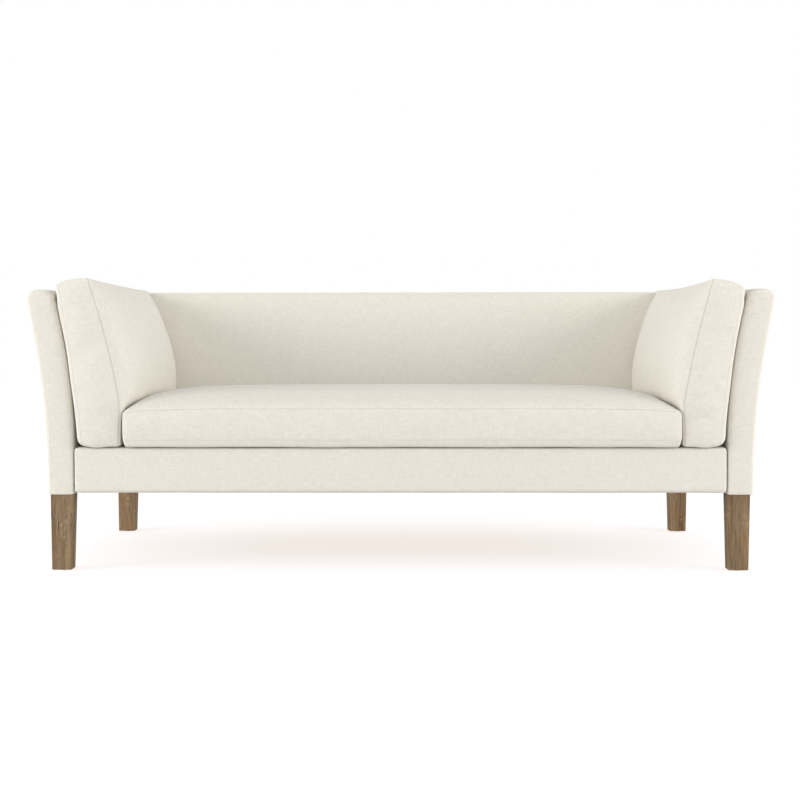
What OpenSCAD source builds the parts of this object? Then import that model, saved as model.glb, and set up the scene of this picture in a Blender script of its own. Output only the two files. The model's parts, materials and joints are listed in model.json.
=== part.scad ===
// Shelter arm sofa: flared upholstered arms, a tight raked back, one long seat
// cushion and two loose arm cushions on a sprung hardwood frame with tapered legs.

/* [Overall size] */
// Width across the tops of the two arms
overall_w = 2136; // [1700:1:2600]
// Depth from the front of the arms to the top of the back
overall_d = 914; // [860:1:980]
// Height of the back, and of the arms where they meet it
back_h = 845; // [825:1:880]
// Height of the front end of the arms
arm_h = 811; // [780:1:825]
// Height of the deck that the cushions stand on
deck_h = 357.5; // [345:0.5:375]

/* [Arms] */
// Thickness of an arm below its flare
arm_foot_t = 72; // [66:1:90]
// How far the outside of an arm leans out at its shoulder
arm_out_flare = 59; // [30:1:80]
// How far the inside of an arm leans out at its shoulder
arm_in_flare = 43; // [25:1:60]
// Height above the legs where the flare begins
flare_start = 40; // [20:1:60]
// Radius of the crown along the top of an arm
arm_crown_r = 90; // [70:1:140]
// Drop from the top of an arm to its shoulder
shoulder_drop = 29; // [20:1:40]

/* [Back] */
// Thickness of the back at its top
back_top_t = 117; // [105:1:140]
// Lean of the inside face of the back, in degrees
back_face_rake = 9.7; // [7:0.1:11]
// Lean of the outside face of the back, in degrees
back_rear_rake = 5.2; // [3:0.1:6]
// Radius of the front top edge of the back
back_front_r = 11; // [6:1:16]
// Radius of the rear top edge of the back
back_rear_r = 24; // [12:1:32]

/* [Upholstery] */
// Thickness of the cover cloth with its lining
cover_t = 2; // [1:0.1:3]
// Thickness of the padding round an arm
arm_pad_t = 8; // [5:0.5:12]
// Thickness of the foam on the inside of the back
back_pad_t = 43; // [30:1:55]
// Thickness of the padding over the top of the back
top_pad_t = 12; // [8:1:20]
// Thickness of the padding on the front rail
rail_pad_t = 10; // [6:1:14]
// Thickness of the felt under the deck cloth
felt_t = 10; // [6:1:14]
// Radius of the soft edges of the front rail
rail_edge_r = 11; // [6:1:14]
// Distance from the bottom of the front rail down to the tops of the legs
rail_lift = 5; // [3:1:12]
// Thickness of the hardboard panels
board_t = 3; // [2:0.5:4]

/* [Seat cushion] */
// Distance from the front of the arms to the front of the cushions
cushion_set = 5; // [2:1:20]
// Height of the lower seam above the deck
low_seam_h = 16.5; // [12:0.5:20]
// Height of the boxing between the two seams of the seat cushion
boxing_h = 93; // [80:1:105]
// Drop of the upper seam towards the ends of the seat cushion
seam_drop = 10.5; // [4:0.5:14]
// Rise of the crown of the seat cushion above its upper seam
seat_crown = 57; // [30:1:64]
// How far the boxing of a cushion is drawn in between its seams
draw_in = 3; // [1:0.5:5]
// Thickness of the foam core of the seat cushion
seat_core_t = 90; // [60:1:110]

/* [Arm cushions] */
// Height of the front edge of an arm cushion
side_h = 484; // [440:1:520]
// How much higher its rear corner stands than its front corner
side_rise = 8; // [2:1:16]
// Thickness of an arm cushion at its top
side_top_t = 95; // [80:1:110]
// Thickness of an arm cushion at its foot
side_foot_t = 120; // [105:1:135]
// Depth of the crown on its inner face
side_crown = 82; // [40:1:90]
// Gap between the foot of an arm cushion and the seat cushion
side_gap = 5; // [4:1:14]
// Gap between the foot of an arm cushion and the arm
side_foot_gap = 9; // [5:1:12]
// Distance from the outer seam to the outer face of an arm cushion
side_seam_in = 13; // [8:1:18]
// Thickness of the foam core of an arm cushion
side_core_t = 62; // [40:1:70]

/* [Legs] */
// Height of the legs with their glides
leg_h = 220; // [160:1:235]
// Width of a leg at its top
leg_top_w = 61; // [50:1:64]
// Depth of a leg at its top
leg_top_d = 48; // [42:1:60]
// Width of a leg at its foot
leg_foot_w = 54.4; // [40:0.2:60]
// Depth of a leg at its foot
leg_foot_d = 42; // [36:1:56]
// Distance from the front of the arm to the front of a leg
leg_set = 6; // [4:1:14]
// Diameter of a glide
glide_d = 28; // [20:1:34]
// Thickness of a glide
glide_t = 2.5; // [2:0.5:5]
// Diameter of the nail of a glide
glide_nail_d = 3; // [2:0.5:4]
// Length of the nail of a glide
glide_nail_l = 14; // [10:1:20]
// Diameter of the hanger bolt of a leg
hanger_d = 8; // [6:1:10]
// Length of the hanger bolt inside the leg
hanger_leg_l = 36; // [25:1:50]
// Length of the hanger bolt inside the frame
hanger_rail_l = 30; // [20:1:34]
// Outside diameter of the threaded insert of a leg
insert_d = 13; // [12:1:16]
// Length of the threaded insert of a leg
insert_l = 20; // [15:1:26]

/* [Frame] */
// Thickness of the seat rails
rail_t = 28; // [22:1:34]
// Height of the base rail of an arm
arm_base_h = 40; // [38:1:50]
// Thickness of the boards that shape an arm
arm_post_t = 28; // [20:1:34]
// Height of the top rail of an arm below its crown
arm_top_rail_h = 42; // [30:1:60]
// Width of the tacking rails
tack_h = 32; // [24:1:40]
// Thickness of the tacking rails
tack_t = 20; // [16:1:24]
// Thickness of the back posts
back_post_t = 24; // [18:1:30]
// Height of the top rail of the back
back_rail_h = 58; // [45:1:80]
// Height of the stretchers under the seat
stretcher_h = 60; // [45:1:70]
// Length of a corner block along its rail
block_l = 72; // [60:1:90]
// Height of a corner block
block_h = 70; // [55:1:85]
// Diameter of a frame screw
screw_d = 5; // [4:0.5:6]
// Length of a frame screw
screw_l = 50; // [45:1:60]
// Diameter of the bolts that join an arm to the seat frame
arm_bolt_d = 8; // [6:1:10]
// Number of bolts in each arm
arm_bolts_n = 3; // [2:1:4]

/* [Suspension] */
// Number of seat springs in each of the three bays
springs_n = 4; // [2:1:5]
// Width of a zigzag spring
spring_w = 48; // [36:1:60]
// Thickness of the spring wire
wire_t = 4; // [3:0.5:5]
// Number of cross bars in a spring
spring_bars_n = 22; // [16:2:30]
// Thickness of the sheet of a spring clip
clip_t = 1.2; // [0.8:0.1:1.6]
// Width of a spring clip
clip_w = 20; // [14:1:28]
// Length of a spring clip
clip_l = 18; // [14:1:26]
// Diameter of the tie wires under the springs
tie_d = 2.5; // [2:0.5:4]
// Width of a webbing strap
web_w = 55; // [40:1:60]
// Thickness of a webbing strap
web_t = 2; // [1:0.5:3]
// Number of webbing straps in each bay of the back
webs_n = 4; // [2:1:5]
// Thickness of the dust cloth under the seat
dust_t = 0.8; // [0.5:0.1:1.5]

/* [Hidden] */

linen = "#e9e5da";
beech = "#d3b184";
oak = "#8b7358";
foam = "#efe3b0";
steel = "#8f9498";
board = "#a98a63";
felt = "#c9c4b6";
black_cloth = "#2c2b2a";

// Shared clearances and overruns
fit = 0.2;
rest_gap = 0.3;
overrun = 4;
arm_joint_gap = 1;
bore_clear = 0.4;
round_fn = 48;
arc_fn = 720;
ball_fn = 24;

// Outside planes
front_y = -overall_d / 2;
rear_y = overall_d / 2;
arm_out_x = overall_w / 2 - arm_out_flare;
arm_in_x = arm_out_x - arm_foot_t;
base_w = 2 * (arm_in_x - arm_joint_gap);
arm_tilt = atan((back_h - arm_h) / overall_d);
tilt_reach = arm_h * abs(sin(arm_tilt)) + overrun;
run_top_z = max(arm_h, back_h) + overrun;
run_foot_z = leg_h - tilt_reach - abs(back_h - arm_h);

// Arcs of the arm section, each upright where the flare begins
flare_z = leg_h + flare_start;
shoulder_z = arm_h - shoulder_drop;
flare_h = shoulder_z - flare_z;
arm_out_r = (flare_h * flare_h + arm_out_flare * arm_out_flare) / (2 * arm_out_flare);
arm_in_r = (flare_h * flare_h + arm_in_flare * arm_in_flare) / (2 * arm_in_flare);
crown_x = (arm_out_x + arm_out_flare + arm_in_x + arm_in_flare) / 2;
crown_z = arm_h - arm_crown_r;

// Planes of the back
function back_rear_at(z) = rear_y - (back_h - z) * tan(back_rear_rake);
function back_face_at(z) = rear_y - back_top_t - (back_h - z) * tan(back_face_rake);

// Inside face of the right arm at a depth and a height
function arm_local_z(y, z) =
    arm_h + (z - arm_h) * cos(arm_tilt) - (y - front_y) * sin(arm_tilt);
function arm_inner_at(y, z) =
    let (rise = max(0, arm_local_z(y, z) - flare_z))
    arm_in_x + arm_in_r - sqrt(arm_in_r * arm_in_r - rise * rise);

// Seat frame levels
rail_cover_z = leg_h + rail_lift;
rail_z = rail_cover_z + cover_t + fit;
spring_room = 2 * clip_t + wire_t + 2 * fit;
felt_z = deck_h - cover_t - fit - felt_t;
rail_top_z = felt_z - fit - spring_room;
rail_h = rail_top_z - rail_z;
rail_end_x = base_w / 2 - cover_t - fit;
front_end_x = base_w / 2 - rail_edge_r;
front_rail_y = front_y + cover_t + rail_pad_t + 2 * fit;
rear_rail_end_y = back_rear_at(rail_z) - cover_t - board_t - 3 * fit;
rear_rail_y = rear_rail_end_y - rail_t;
rail_inner_y = front_rail_y + rail_t;
side_rail_x = rail_end_x - rail_t;

// Arm frame planes
arm_base_z = leg_h + cover_t + fit;
arm_core_in = cover_t + arm_pad_t + board_t + 3 * fit;
arm_post_y = front_y + cover_t + arm_pad_t + 2 * fit;
arm_stand_z = arm_base_z + arm_base_h + fit;
arm_rail_z = shoulder_z + shoulder_drop - cover_t - arm_pad_t - arm_top_rail_h;
arm_tack_z = deck_h;

// Back frame planes
bay_w = 2 * side_rail_x / 3;
back_frame_in = back_pad_t + web_t + fit;
back_frame_rear = cover_t + board_t + 2 * fit;
back_top_z = back_h - top_pad_t - cover_t;
back_top_rail_z = back_top_z - back_rail_h;
back_tack_z = deck_h + low_seam_h;
back_open_z = rail_top_z + spring_room + fit;

// Legs
leg_x = (arm_out_x + arm_in_x) / 2;
leg_front_y = front_y + leg_set + leg_top_d / 2;
leg_rear_y = back_rear_at(leg_h) - leg_set - leg_top_d / 2;
leg_ys = [leg_front_y, leg_rear_y];

// Cushions
cushion_y = front_y + cushion_set;
side_foot_x = arm_in_x - side_foot_gap - side_foot_t;
seat_w = 2 * (side_foot_x - side_gap);
low_seam_z = deck_h + rest_gap + low_seam_h;
top_seam_z = low_seam_z + boxing_h;
end_seam_z = top_seam_z - seam_drop;
back_rest_gap = 1.5;
seat_nu = 26;
seat_nv = 14;
side_nu = 18;
side_nv = 16;
side_bulge_z = end_seam_z + seat_crown / 2;
side_top_z = deck_h + rest_gap + side_h;
side_top_x = arm_inner_at(cushion_y, side_top_z) - side_top_t;
side_fit_gap = 0.8;
seat_end_power_share = 8;
seat_end_round_share = 0.3;
seat_front_power_share = 3;
seat_front_round_share = 0.5;
side_round_share = 0.35;

// Basic helpers

module handed(side) {
    if (side < 0)
        mirror([1, 0, 0]) children();
    else
        children();
}

// A depth and height outline drawn out along the width from x0 to x1
module across(x0, x1) {
    translate([x0, 0, 0]) rotate([90, 0, 90]) linear_extrude(x1 - x0) children();
}

// A width and height outline drawn out along the depth from y0 to y1
module along(y0, y1) {
    translate([0, y1, 0]) rotate([90, 0, 0]) linear_extrude(y1 - y0) children();
}

module cylinder_x(x0, x1, d) {
    translate([x0, 0, 0]) rotate([0, 90, 0]) cylinder(d = d, h = x1 - x0, $fn = round_fn);
}

// Arm section

module arm_side_disc(inset) {
    intersection() {
        translate([arm_in_x + arm_in_r, flare_z]) circle(arm_in_r - inset, $fn = arc_fn);
        translate([arm_in_x - overrun, flare_z])
            square([overall_w / 2 - arm_in_x + 2 * overrun, run_top_z - flare_z]);
    }
}

module arm_outline(inset) {
    difference() {
        union() {
            difference() {
                arm_side_disc(inset);
                translate([arm_out_x + arm_out_r, flare_z])
                    circle(arm_out_r + inset, $fn = arc_fn);
            }
            translate([arm_in_x + inset, run_foot_z])
                square([arm_foot_t - 2 * inset, flare_z - run_foot_z]);
        }
        difference() {
            translate([arm_in_x, crown_z]) square([overall_w / 2, run_top_z]);
            translate([crown_x, crown_z]) circle(arm_crown_r - inset, $fn = arc_fn);
        }
    }
}

// A section drawn out along the rising top of the arm
module arm_run() {
    translate([0, front_y, arm_h])
        rotate([arm_tilt, 0, 0])
            translate([0, 0, -arm_h])
                along(-tilt_reach, overall_d + tilt_reach) children();
}

// The room of an arm seen from the side, with its rear edge on the rake of the back
module arm_side_view(front, rear, base) {
    across(arm_in_x - overrun, overall_w / 2 + overrun)
        polygon([
            [front_y + front, leg_h + base],
            [back_rear_at(leg_h + base) - rear, leg_h + base],
            [back_rear_at(run_top_z) - rear, run_top_z],
            [front_y + front, run_top_z]
        ]);
}

module arm_body(inset, front, rear, base) {
    intersection() {
        arm_run() arm_outline(inset);
        arm_side_view(front, rear, base);
    }
}

// Everything outboard of the inside face of the right arm
module arm_zone(gap) {
    arm_run() {
        arm_side_disc(-gap);
        translate([arm_in_x - gap, run_foot_z])
            square([overall_w / 2 - arm_in_x + gap + overrun, flare_z - run_foot_z]);
    }
}

module between_arms(gap) {
    difference() {
        children();
        for (side = [-1, 1])
            handed(side) arm_zone(gap);
    }
}

// Legs

module at_legs() {
    for (side = [-1, 1], y = leg_ys)
        translate([side * leg_x, y, 0]) children();
}

module leg_side(top, foot) {
    polygon([
        [-foot / 2, glide_t],
        [foot / 2, glide_t],
        [top / 2, leg_h],
        [-top / 2, leg_h]
    ]);
}

module leg(side, y) {
    color(oak)
        translate([side * leg_x, y, 0])
            difference() {
                intersection() {
                    along(-leg_top_d, leg_top_d) leg_side(leg_top_w, leg_foot_w);
                    across(-leg_top_w, leg_top_w) leg_side(leg_top_d, leg_foot_d);
                }
                translate([0, 0, leg_h - hanger_leg_l - overrun])
                    cylinder(d = hanger_d + bore_clear, h = hanger_leg_l + 2 * overrun,
                             $fn = round_fn);
                cylinder(d = glide_nail_d + bore_clear, h = glide_t + glide_nail_l + overrun,
                         $fn = round_fn);
            }
}

module floor_glides() {
    color("#e6e2d6")
        at_legs()
            rotate_extrude($fn = round_fn)
                polygon([
                    [0, 0],
                    [glide_d / 2, 0],
                    [glide_d / 2, glide_t],
                    [glide_nail_d / 2, glide_t],
                    [glide_nail_d / 2, glide_t + glide_nail_l],
                    [0, glide_t + glide_nail_l]
                ]);
}

module leg_hanger_bolts() {
    color(steel)
        at_legs()
            translate([0, 0, leg_h - hanger_leg_l])
                cylinder(d = hanger_d, h = hanger_leg_l + hanger_rail_l, $fn = round_fn);
}

module leg_inserts() {
    color(steel)
        at_legs()
            translate([0, 0, arm_base_z])
                difference() {
                    cylinder(d = insert_d, h = insert_l, $fn = round_fn);
                    translate([0, 0, -overrun])
                        cylinder(d = hanger_d + bore_clear, h = insert_l + 2 * overrun,
                                 $fn = round_fn);
                }
}

module leg_bolt_bores() {
    for (y = leg_ys)
        translate([leg_x, y, 0]) {
            translate([0, 0, leg_h - overrun])
                cylinder(d = hanger_d + bore_clear, h = hanger_rail_l + 2 * overrun,
                         $fn = round_fn);
            translate([0, 0, leg_h - overrun])
                cylinder(d = insert_d + bore_clear,
                         h = arm_base_z - leg_h + insert_l + fit + overrun, $fn = round_fn);
        }
}

// Bolts that join each arm to the seat frame

arm_bolt_z = rail_z + arm_base_h / 4;
arm_bolt_head_d = 2 * arm_bolt_d;
arm_bolt_head_t = arm_bolt_d / 2;
arm_bolt_end_x = arm_out_x - arm_core_in - overrun;
arm_bolt_first_y = rail_inner_y + block_l + arm_bolt_head_d;
arm_bolt_last_y = rear_rail_y - block_l - arm_bolt_head_d;
arm_bolt_step = (arm_bolt_last_y - arm_bolt_first_y) / (arm_bolts_n - 1);

module at_arm_bolts() {
    for (i = [0 : arm_bolts_n - 1])
        translate([0, arm_bolt_first_y + i * arm_bolt_step, arm_bolt_z]) children();
}

module arm_bolt_bores() {
    at_arm_bolts()
        cylinder_x(side_rail_x - overrun, arm_bolt_end_x + fit, arm_bolt_d + bore_clear);
}

module arm_bolts() {
    color(steel)
        for (side = [-1, 1])
            handed(side)
                at_arm_bolts() {
                    cylinder_x(side_rail_x - fit, arm_bolt_end_x, arm_bolt_d);
                    cylinder_x(side_rail_x - fit - arm_bolt_head_t, side_rail_x - fit,
                               arm_bolt_head_d);
                }
}

// Seat frame

screw_head_d = 2 * screw_d;
screw_head_t = screw_d / 2;
screw_zs = [rail_z + block_h / 4, rail_z + 3 * block_h / 4];
screw_in = block_l / 4;
screw_shank_share = 0.9;

// Places of the screws of the front right corner block, one pair into each rail
module at_block_screws() {
    translate([side_rail_x - screw_in, rail_inner_y, screw_zs[0]])
        rotate([90, 0, 0]) children();
    translate([side_rail_x, rail_inner_y + screw_in, screw_zs[1]])
        rotate([0, 90, 0]) children();
}

// The four seat corners, each turned from the front right one
module at_seat_corners() {
    middle_y = (rail_inner_y + rear_rail_y) / 2;
    for (side = [-1, 1], end = [0, 1])
        handed(side)
            translate([0, end * 2 * middle_y, 0])
                mirror([0, end, 0])
                    children();
}

module frame_screws() {
    color(steel)
        at_seat_corners()
            at_block_screws() {
                translate([0, 0, -screw_l / 2])
                    cylinder(d = screw_d, h = screw_shank_share * screw_l, $fn = round_fn);
                translate([0, 0, -screw_l / 2 - screw_head_t])
                    cylinder(d = screw_head_d, h = screw_head_t, $fn = round_fn);
            }
}

module frame_screw_bores() {
    at_seat_corners()
        at_block_screws() {
            translate([0, 0, -screw_l / 2])
                cylinder(d = screw_d + bore_clear, h = screw_l, $fn = round_fn);
            translate([0, 0, -block_l])
                cylinder(d = screw_head_d + bore_clear, h = block_l - screw_l / 2 + fit / 2,
                         $fn = round_fn);
        }
}

module corner_blocks() {
    color(beech)
        difference() {
            at_seat_corners()
                translate([side_rail_x - fit, rail_inner_y + fit, rail_z])
                    linear_extrude(block_h)
                        polygon([
                            [0, 0],
                            [0, block_l],
                            [-block_l / 3, block_l],
                            [-block_l, block_l / 3],
                            [-block_l, 0]
                        ]);
            frame_screw_bores();
        }
}

module front_rail() {
    color(beech)
        difference() {
            translate([-front_end_x, front_rail_y, rail_z])
                cube([2 * front_end_x, rail_t, rail_h]);
            frame_screw_bores();
        }
}

module rear_rail() {
    color(beech)
        difference() {
            translate([-rail_end_x, rear_rail_y, rail_z])
                cube([2 * rail_end_x, rail_t, rail_h]);
            frame_screw_bores();
        }
}

module side_rail(side) {
    color(beech)
        difference() {
            handed(side)
                translate([side_rail_x, rail_inner_y + fit, rail_z])
                    cube([rail_t, rear_rail_y - rail_inner_y - 2 * fit, rail_h]);
            frame_screw_bores();
            handed(side) arm_bolt_bores();
        }
}

module seat_stretchers() {
    color(beech)
        for (side = [-1, 1])
            translate([side * bay_w / 2 - rail_t / 2, rail_inner_y + fit, rail_z])
                cube([rail_t, rear_rail_y - rail_inner_y - 2 * fit, stretcher_h]);
}

// Arm frame, drawn for the right arm

module arm_base_rail(side) {
    color(beech)
        handed(side)
            difference() {
                arm_body(arm_core_in, arm_post_y - front_y,
                         cover_t + arm_pad_t + 2 * fit, arm_base_z - leg_h);
                translate([arm_in_x, front_y, arm_base_z + arm_base_h])
                    cube([overall_w / 2, 2 * overall_d, back_h]);
                leg_bolt_bores();
                arm_bolt_bores();
            }
}

module arm_front_post(side) {
    color(beech)
        handed(side)
            difference() {
                arm_body(arm_core_in, arm_post_y - front_y, -overrun,
                         arm_stand_z - leg_h);
                translate([arm_in_x, arm_post_y + arm_post_t, leg_h])
                    cube([overall_w / 2, 2 * overall_d, back_h]);
            }
}

// The rear post follows the rake of the back
module arm_rear_post(side) {
    rear = cover_t + arm_pad_t + 2 * fit;
    color(beech)
        handed(side)
            difference() {
                arm_body(arm_core_in, arm_post_y - front_y, rear, arm_stand_z - leg_h);
                arm_side_view(-overrun, rear + arm_post_t, -overrun);
            }
}

arm_rail_front = arm_post_y - front_y + arm_post_t + fit;
arm_rail_rear = cover_t + arm_pad_t + arm_post_t + 3 * fit;

module arm_top_rail(side) {
    color(beech)
        handed(side)
            intersection() {
                arm_run()
                    intersection() {
                        arm_outline(arm_core_in);
                        translate([arm_in_x, arm_rail_z])
                            square([overall_w / 2 - arm_in_x, back_h]);
                    }
                arm_side_view(arm_rail_front, arm_rail_rear, 0);
            }
}

// The tacking rail that the inside cloth of the arm is pulled to
module arm_tack_rail(side) {
    color(beech)
        handed(side)
            intersection() {
                arm_body(arm_core_in, arm_rail_front, arm_rail_rear, 0);
                translate([arm_in_x, front_y, arm_tack_z])
                    cube([arm_core_in + tack_t, overall_d, tack_h]);
            }
}

panel_in = arm_core_in - board_t - fit;

// One side of the arm outline as a thin strip, the outer side or the inner one
module arm_panel_strip(shift) {
    difference() {
        arm_outline(panel_in);
        translate([shift, 0]) arm_outline(panel_in);
        translate([arm_in_x, shoulder_z]) square([overall_w / 2, run_top_z]);
    }
}

module arm_inner_panel(side) {
    color(board)
        handed(side)
            intersection() {
                arm_run() arm_panel_strip(board_t);
                arm_side_view(arm_post_y - front_y, cover_t + arm_pad_t + 2 * fit,
                              deck_h - leg_h);
            }
}

module arm_outer_panel(side) {
    color(board)
        handed(side)
            intersection() {
                arm_run() arm_panel_strip(-board_t);
                arm_side_view(arm_post_y - front_y, cover_t + arm_pad_t + 2 * fit,
                              arm_base_z - leg_h);
            }
}

module arm_padding(side) {
    outside = cover_t + fit;
    inside = cover_t + arm_pad_t + fit;
    color(foam)
        handed(side)
            difference() {
                arm_body(outside, outside, outside, outside);
                arm_body(inside, inside, -overrun, -overrun);
                arm_bolt_bores();
            }
}

module arm_cover(side) {
    color(linen)
        handed(side)
            difference() {
                arm_body(0, 0, 0, 0);
                arm_body(cover_t, cover_t, cover_t, cover_t);
                leg_bolt_bores();
                arm_bolt_bores();
            }
}

// Back frame

function frame_face_at(z) = back_face_at(z) + back_frame_in / cos(back_face_rake);
function frame_rear_at(z) = back_rear_at(z) - back_frame_rear / cos(back_rear_rake);

// A back post stands on the corner block or stretcher of the given height
module back_post(x, support_h) {
    foot_z = rail_z + support_h + fit;
    color(beech)
        across(x - back_post_t / 2, x + back_post_t / 2)
            polygon([
                [frame_face_at(rail_top_z), foot_z],
                [rear_rail_y - fit, foot_z],
                [rear_rail_y - fit, rail_top_z + fit],
                [frame_rear_at(rail_top_z), rail_top_z + fit],
                [frame_rear_at(back_top_rail_z), back_top_rail_z - fit],
                [frame_face_at(back_top_rail_z), back_top_rail_z - fit],
                [frame_face_at(rail_top_z), rail_top_z]
            ]);
}

end_post_x = side_rail_x - fit - back_post_t / 2;

module back_top_rail() {
    ease = back_rear_r / 4;
    color(beech)
        between_arms(arm_joint_gap + cover_t + fit)
            across(-overall_w / 2, overall_w / 2)
                polygon([
                    [frame_face_at(back_top_rail_z), back_top_rail_z],
                    [frame_rear_at(back_top_rail_z), back_top_rail_z],
                    [frame_rear_at(back_top_z - ease), back_top_z - ease],
                    [frame_rear_at(back_top_z) - ease, back_top_z],
                    [frame_face_at(back_top_z), back_top_z]
                ]);
}

module back_tack_rails() {
    post_xs = [-end_post_x, -bay_w / 2, bay_w / 2, end_post_x];
    color(beech)
        for (i = [0 : 2])
            across(post_xs[i] + back_post_t / 2 + fit, post_xs[i + 1] - back_post_t / 2 - fit)
                polygon([
                    [frame_face_at(back_tack_z), back_tack_z],
                    [frame_face_at(back_tack_z) + tack_t, back_tack_z],
                    [frame_face_at(back_tack_z + tack_h) + tack_t, back_tack_z + tack_h],
                    [frame_face_at(back_tack_z + tack_h), back_tack_z + tack_h]
                ]);
}

// Middles of the springs or straps, spread evenly in the three bays
function bay_places(n) = [for (bay = [-1 : 1], i = [0 : n - 1])
    bay_w * (bay + (i + 0.5) / n - 0.5)];

module back_webbing() {
    color("#7d6a4c")
        for (x = bay_places(webs_n))
            across(x - web_w / 2, x + web_w / 2)
                polygon([
                    [frame_face_at(back_tack_z) - web_t - fit, back_tack_z],
                    [frame_face_at(back_tack_z) - fit, back_tack_z],
                    [frame_face_at(back_top_z) - fit, back_top_z],
                    [frame_face_at(back_top_z) - web_t - fit, back_top_z]
                ]);
}

module outside_back_panel() {
    outer = (cover_t + fit) / cos(back_rear_rake);
    high_z = back_h - back_rear_r - cover_t;
    color(board)
        across(-rail_end_x, rail_end_x)
            polygon([
                [back_rear_at(rail_z) - outer - board_t, rail_z],
                [back_rear_at(rail_z) - outer, rail_z],
                [back_rear_at(high_z) - outer, high_z],
                [back_rear_at(high_z) - outer - board_t, high_z]
            ]);
}

// The outline of the back from its open foot to its rounded top edge
module back_outline(inset, low_z, foot_z) {
    face = inset / cos(back_face_rake);
    rear = inset / cos(back_rear_rake);
    top_z = back_h - back_front_r;
    top_y = back_face_at(top_z) + back_front_r / cos(back_face_rake);
    end_z = back_h - back_rear_r;
    end_y = back_rear_at(end_z) - back_rear_r / cos(back_rear_rake);
    front_r = back_front_r - inset;
    rear_r = back_rear_r - inset;
    polygon([
        [back_face_at(low_z) + face, low_z],
        [rear_rail_y, low_z],
        [rear_rail_y, foot_z],
        [back_rear_at(foot_z) - rear, foot_z],
        [end_y + rear_r * cos(back_rear_rake), end_z - rear_r * sin(back_rear_rake)],
        [end_y, end_z + rear_r],
        [top_y, top_z + front_r],
        [top_y - front_r * cos(back_face_rake), top_z + front_r * sin(back_face_rake)]
    ]);
    translate([top_y, top_z]) circle(front_r, $fn = round_fn);
    translate([end_y, end_z]) circle(rear_r, $fn = round_fn);
}

module back_cover() {
    color(linen)
        difference() {
            between_arms(arm_joint_gap)
                across(-overall_w / 2, overall_w / 2)
                    back_outline(0, back_open_z, rail_cover_z);
            between_arms(arm_joint_gap + cover_t)
                across(-overall_w / 2, overall_w / 2)
                    back_outline(cover_t, back_open_z - overrun, rail_cover_z + cover_t);
            translate([-overall_w / 2, front_y, leg_h])
                cube([overall_w, rear_rail_end_y - front_y, back_open_z - leg_h]);
        }
}

module back_padding() {
    inset = cover_t + fit;
    color(foam)
        between_arms(arm_joint_gap + inset)
            across(-overall_w / 2, overall_w / 2)
                difference() {
                    back_outline(inset, back_open_z + fit, back_open_z);
                    polygon([
                        [frame_face_at(leg_h) - web_t - 2 * fit, leg_h],
                        [rear_y, leg_h],
                        [rear_y, back_top_z + fit],
                        [frame_face_at(back_top_z) - web_t - 2 * fit, back_top_z + fit]
                    ]);
                }
}

// Suspension

spring_front_y = front_rail_y + rail_t / 2;
spring_rear_y = rear_rail_y + rail_t / 2;
spring_pitch = (spring_rear_y - spring_front_y) / (spring_bars_n - 1);
spring_z = rail_top_z + clip_t + fit;
spring_bend_angles = [-90, -30, 30, 90];

// Edge of the wire on one side of its centre line, bend after bend
function spring_edge(offset) = [
    for (k = [0 : spring_bars_n - 2], a = spring_bend_angles)
        let (
            r = spring_pitch / 2,
            turn = k % 2 == 0 ? 1 : -1,
            bend_r = r - turn * offset
        )
        [
            turn * (spring_w / 2 - r) + turn * bend_r * cos(a),
            k * spring_pitch + r + bend_r * sin(a)
        ]
];

function reversed(list) = [for (i = [len(list) - 1 : -1 : 0]) list[i]];

module seat_spring() {
    far = spring_pitch * (spring_bars_n - 1);
    half = spring_w / 2 - spring_pitch / 2;
    last = spring_bars_n % 2 == 0 ? -1 : 1;
    translate([0, spring_front_y, spring_z])
        linear_extrude(wire_t)
            polygon(concat(
                [[-half, wire_t / 2]],
                spring_edge(wire_t / 2),
                [[last * half, far + last * wire_t / 2]],
                [[last * half, far - last * wire_t / 2]],
                reversed(spring_edge(-wire_t / 2)),
                [[-half, -wire_t / 2]]
            ));
}

module seat_springs() {
    color(steel)
        for (x = bay_places(springs_n))
            translate([x, 0, 0]) seat_spring();
}

// A clip folded over the end bar of a spring, open towards the seat
module spring_clip_side() {
    h = spring_room - fit;
    difference() {
        square([clip_l, h]);
        translate([clip_t, clip_t]) square([clip_l, h - 2 * clip_t]);
    }
}

module spring_clips() {
    back_off = clip_t + fit + wire_t / 2;
    color(steel)
        for (x = bay_places(springs_n)) {
            translate([0, spring_front_y - back_off, rail_top_z])
                across(x - clip_w / 2, x + clip_w / 2) spring_clip_side();
            translate([0, spring_rear_y + back_off, rail_top_z])
                mirror([0, 1, 0])
                    across(x - clip_w / 2, x + clip_w / 2) spring_clip_side();
        }
}

tie_place_shares = [0.33, 0.67];

module spring_tie_wires() {
    color(steel)
        for (share = tie_place_shares)
            translate([0, spring_front_y + share * (spring_rear_y - spring_front_y),
                       spring_z - fit - tie_d / 2])
                cylinder_x(-side_rail_x + fit, side_rail_x - fit, tie_d);
}

// Seat padding and cloth

deck_rear_y = back_face_at(back_open_z) - 3 * fit;

module deck_felt() {
    color(felt)
        translate([-front_end_x, front_rail_y, felt_z])
            cube([2 * front_end_x, deck_rear_y - front_rail_y, felt_t]);
}

module front_rail_padding() {
    color(foam)
        intersection() {
            front_rail_form(cover_t + fit);
            translate([-base_w / 2, front_y, rail_cover_z])
                cube([base_w, cover_t + fit + rail_pad_t, deck_h - rail_cover_z]);
        }
}

deck_cover_y = front_rail_y + rail_t;

module deck_cover() {
    color(linen)
        translate([-base_w / 2, deck_cover_y + fit, deck_h - cover_t])
            cube([base_w, deck_rear_y - deck_cover_y - fit, cover_t]);
}

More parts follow.
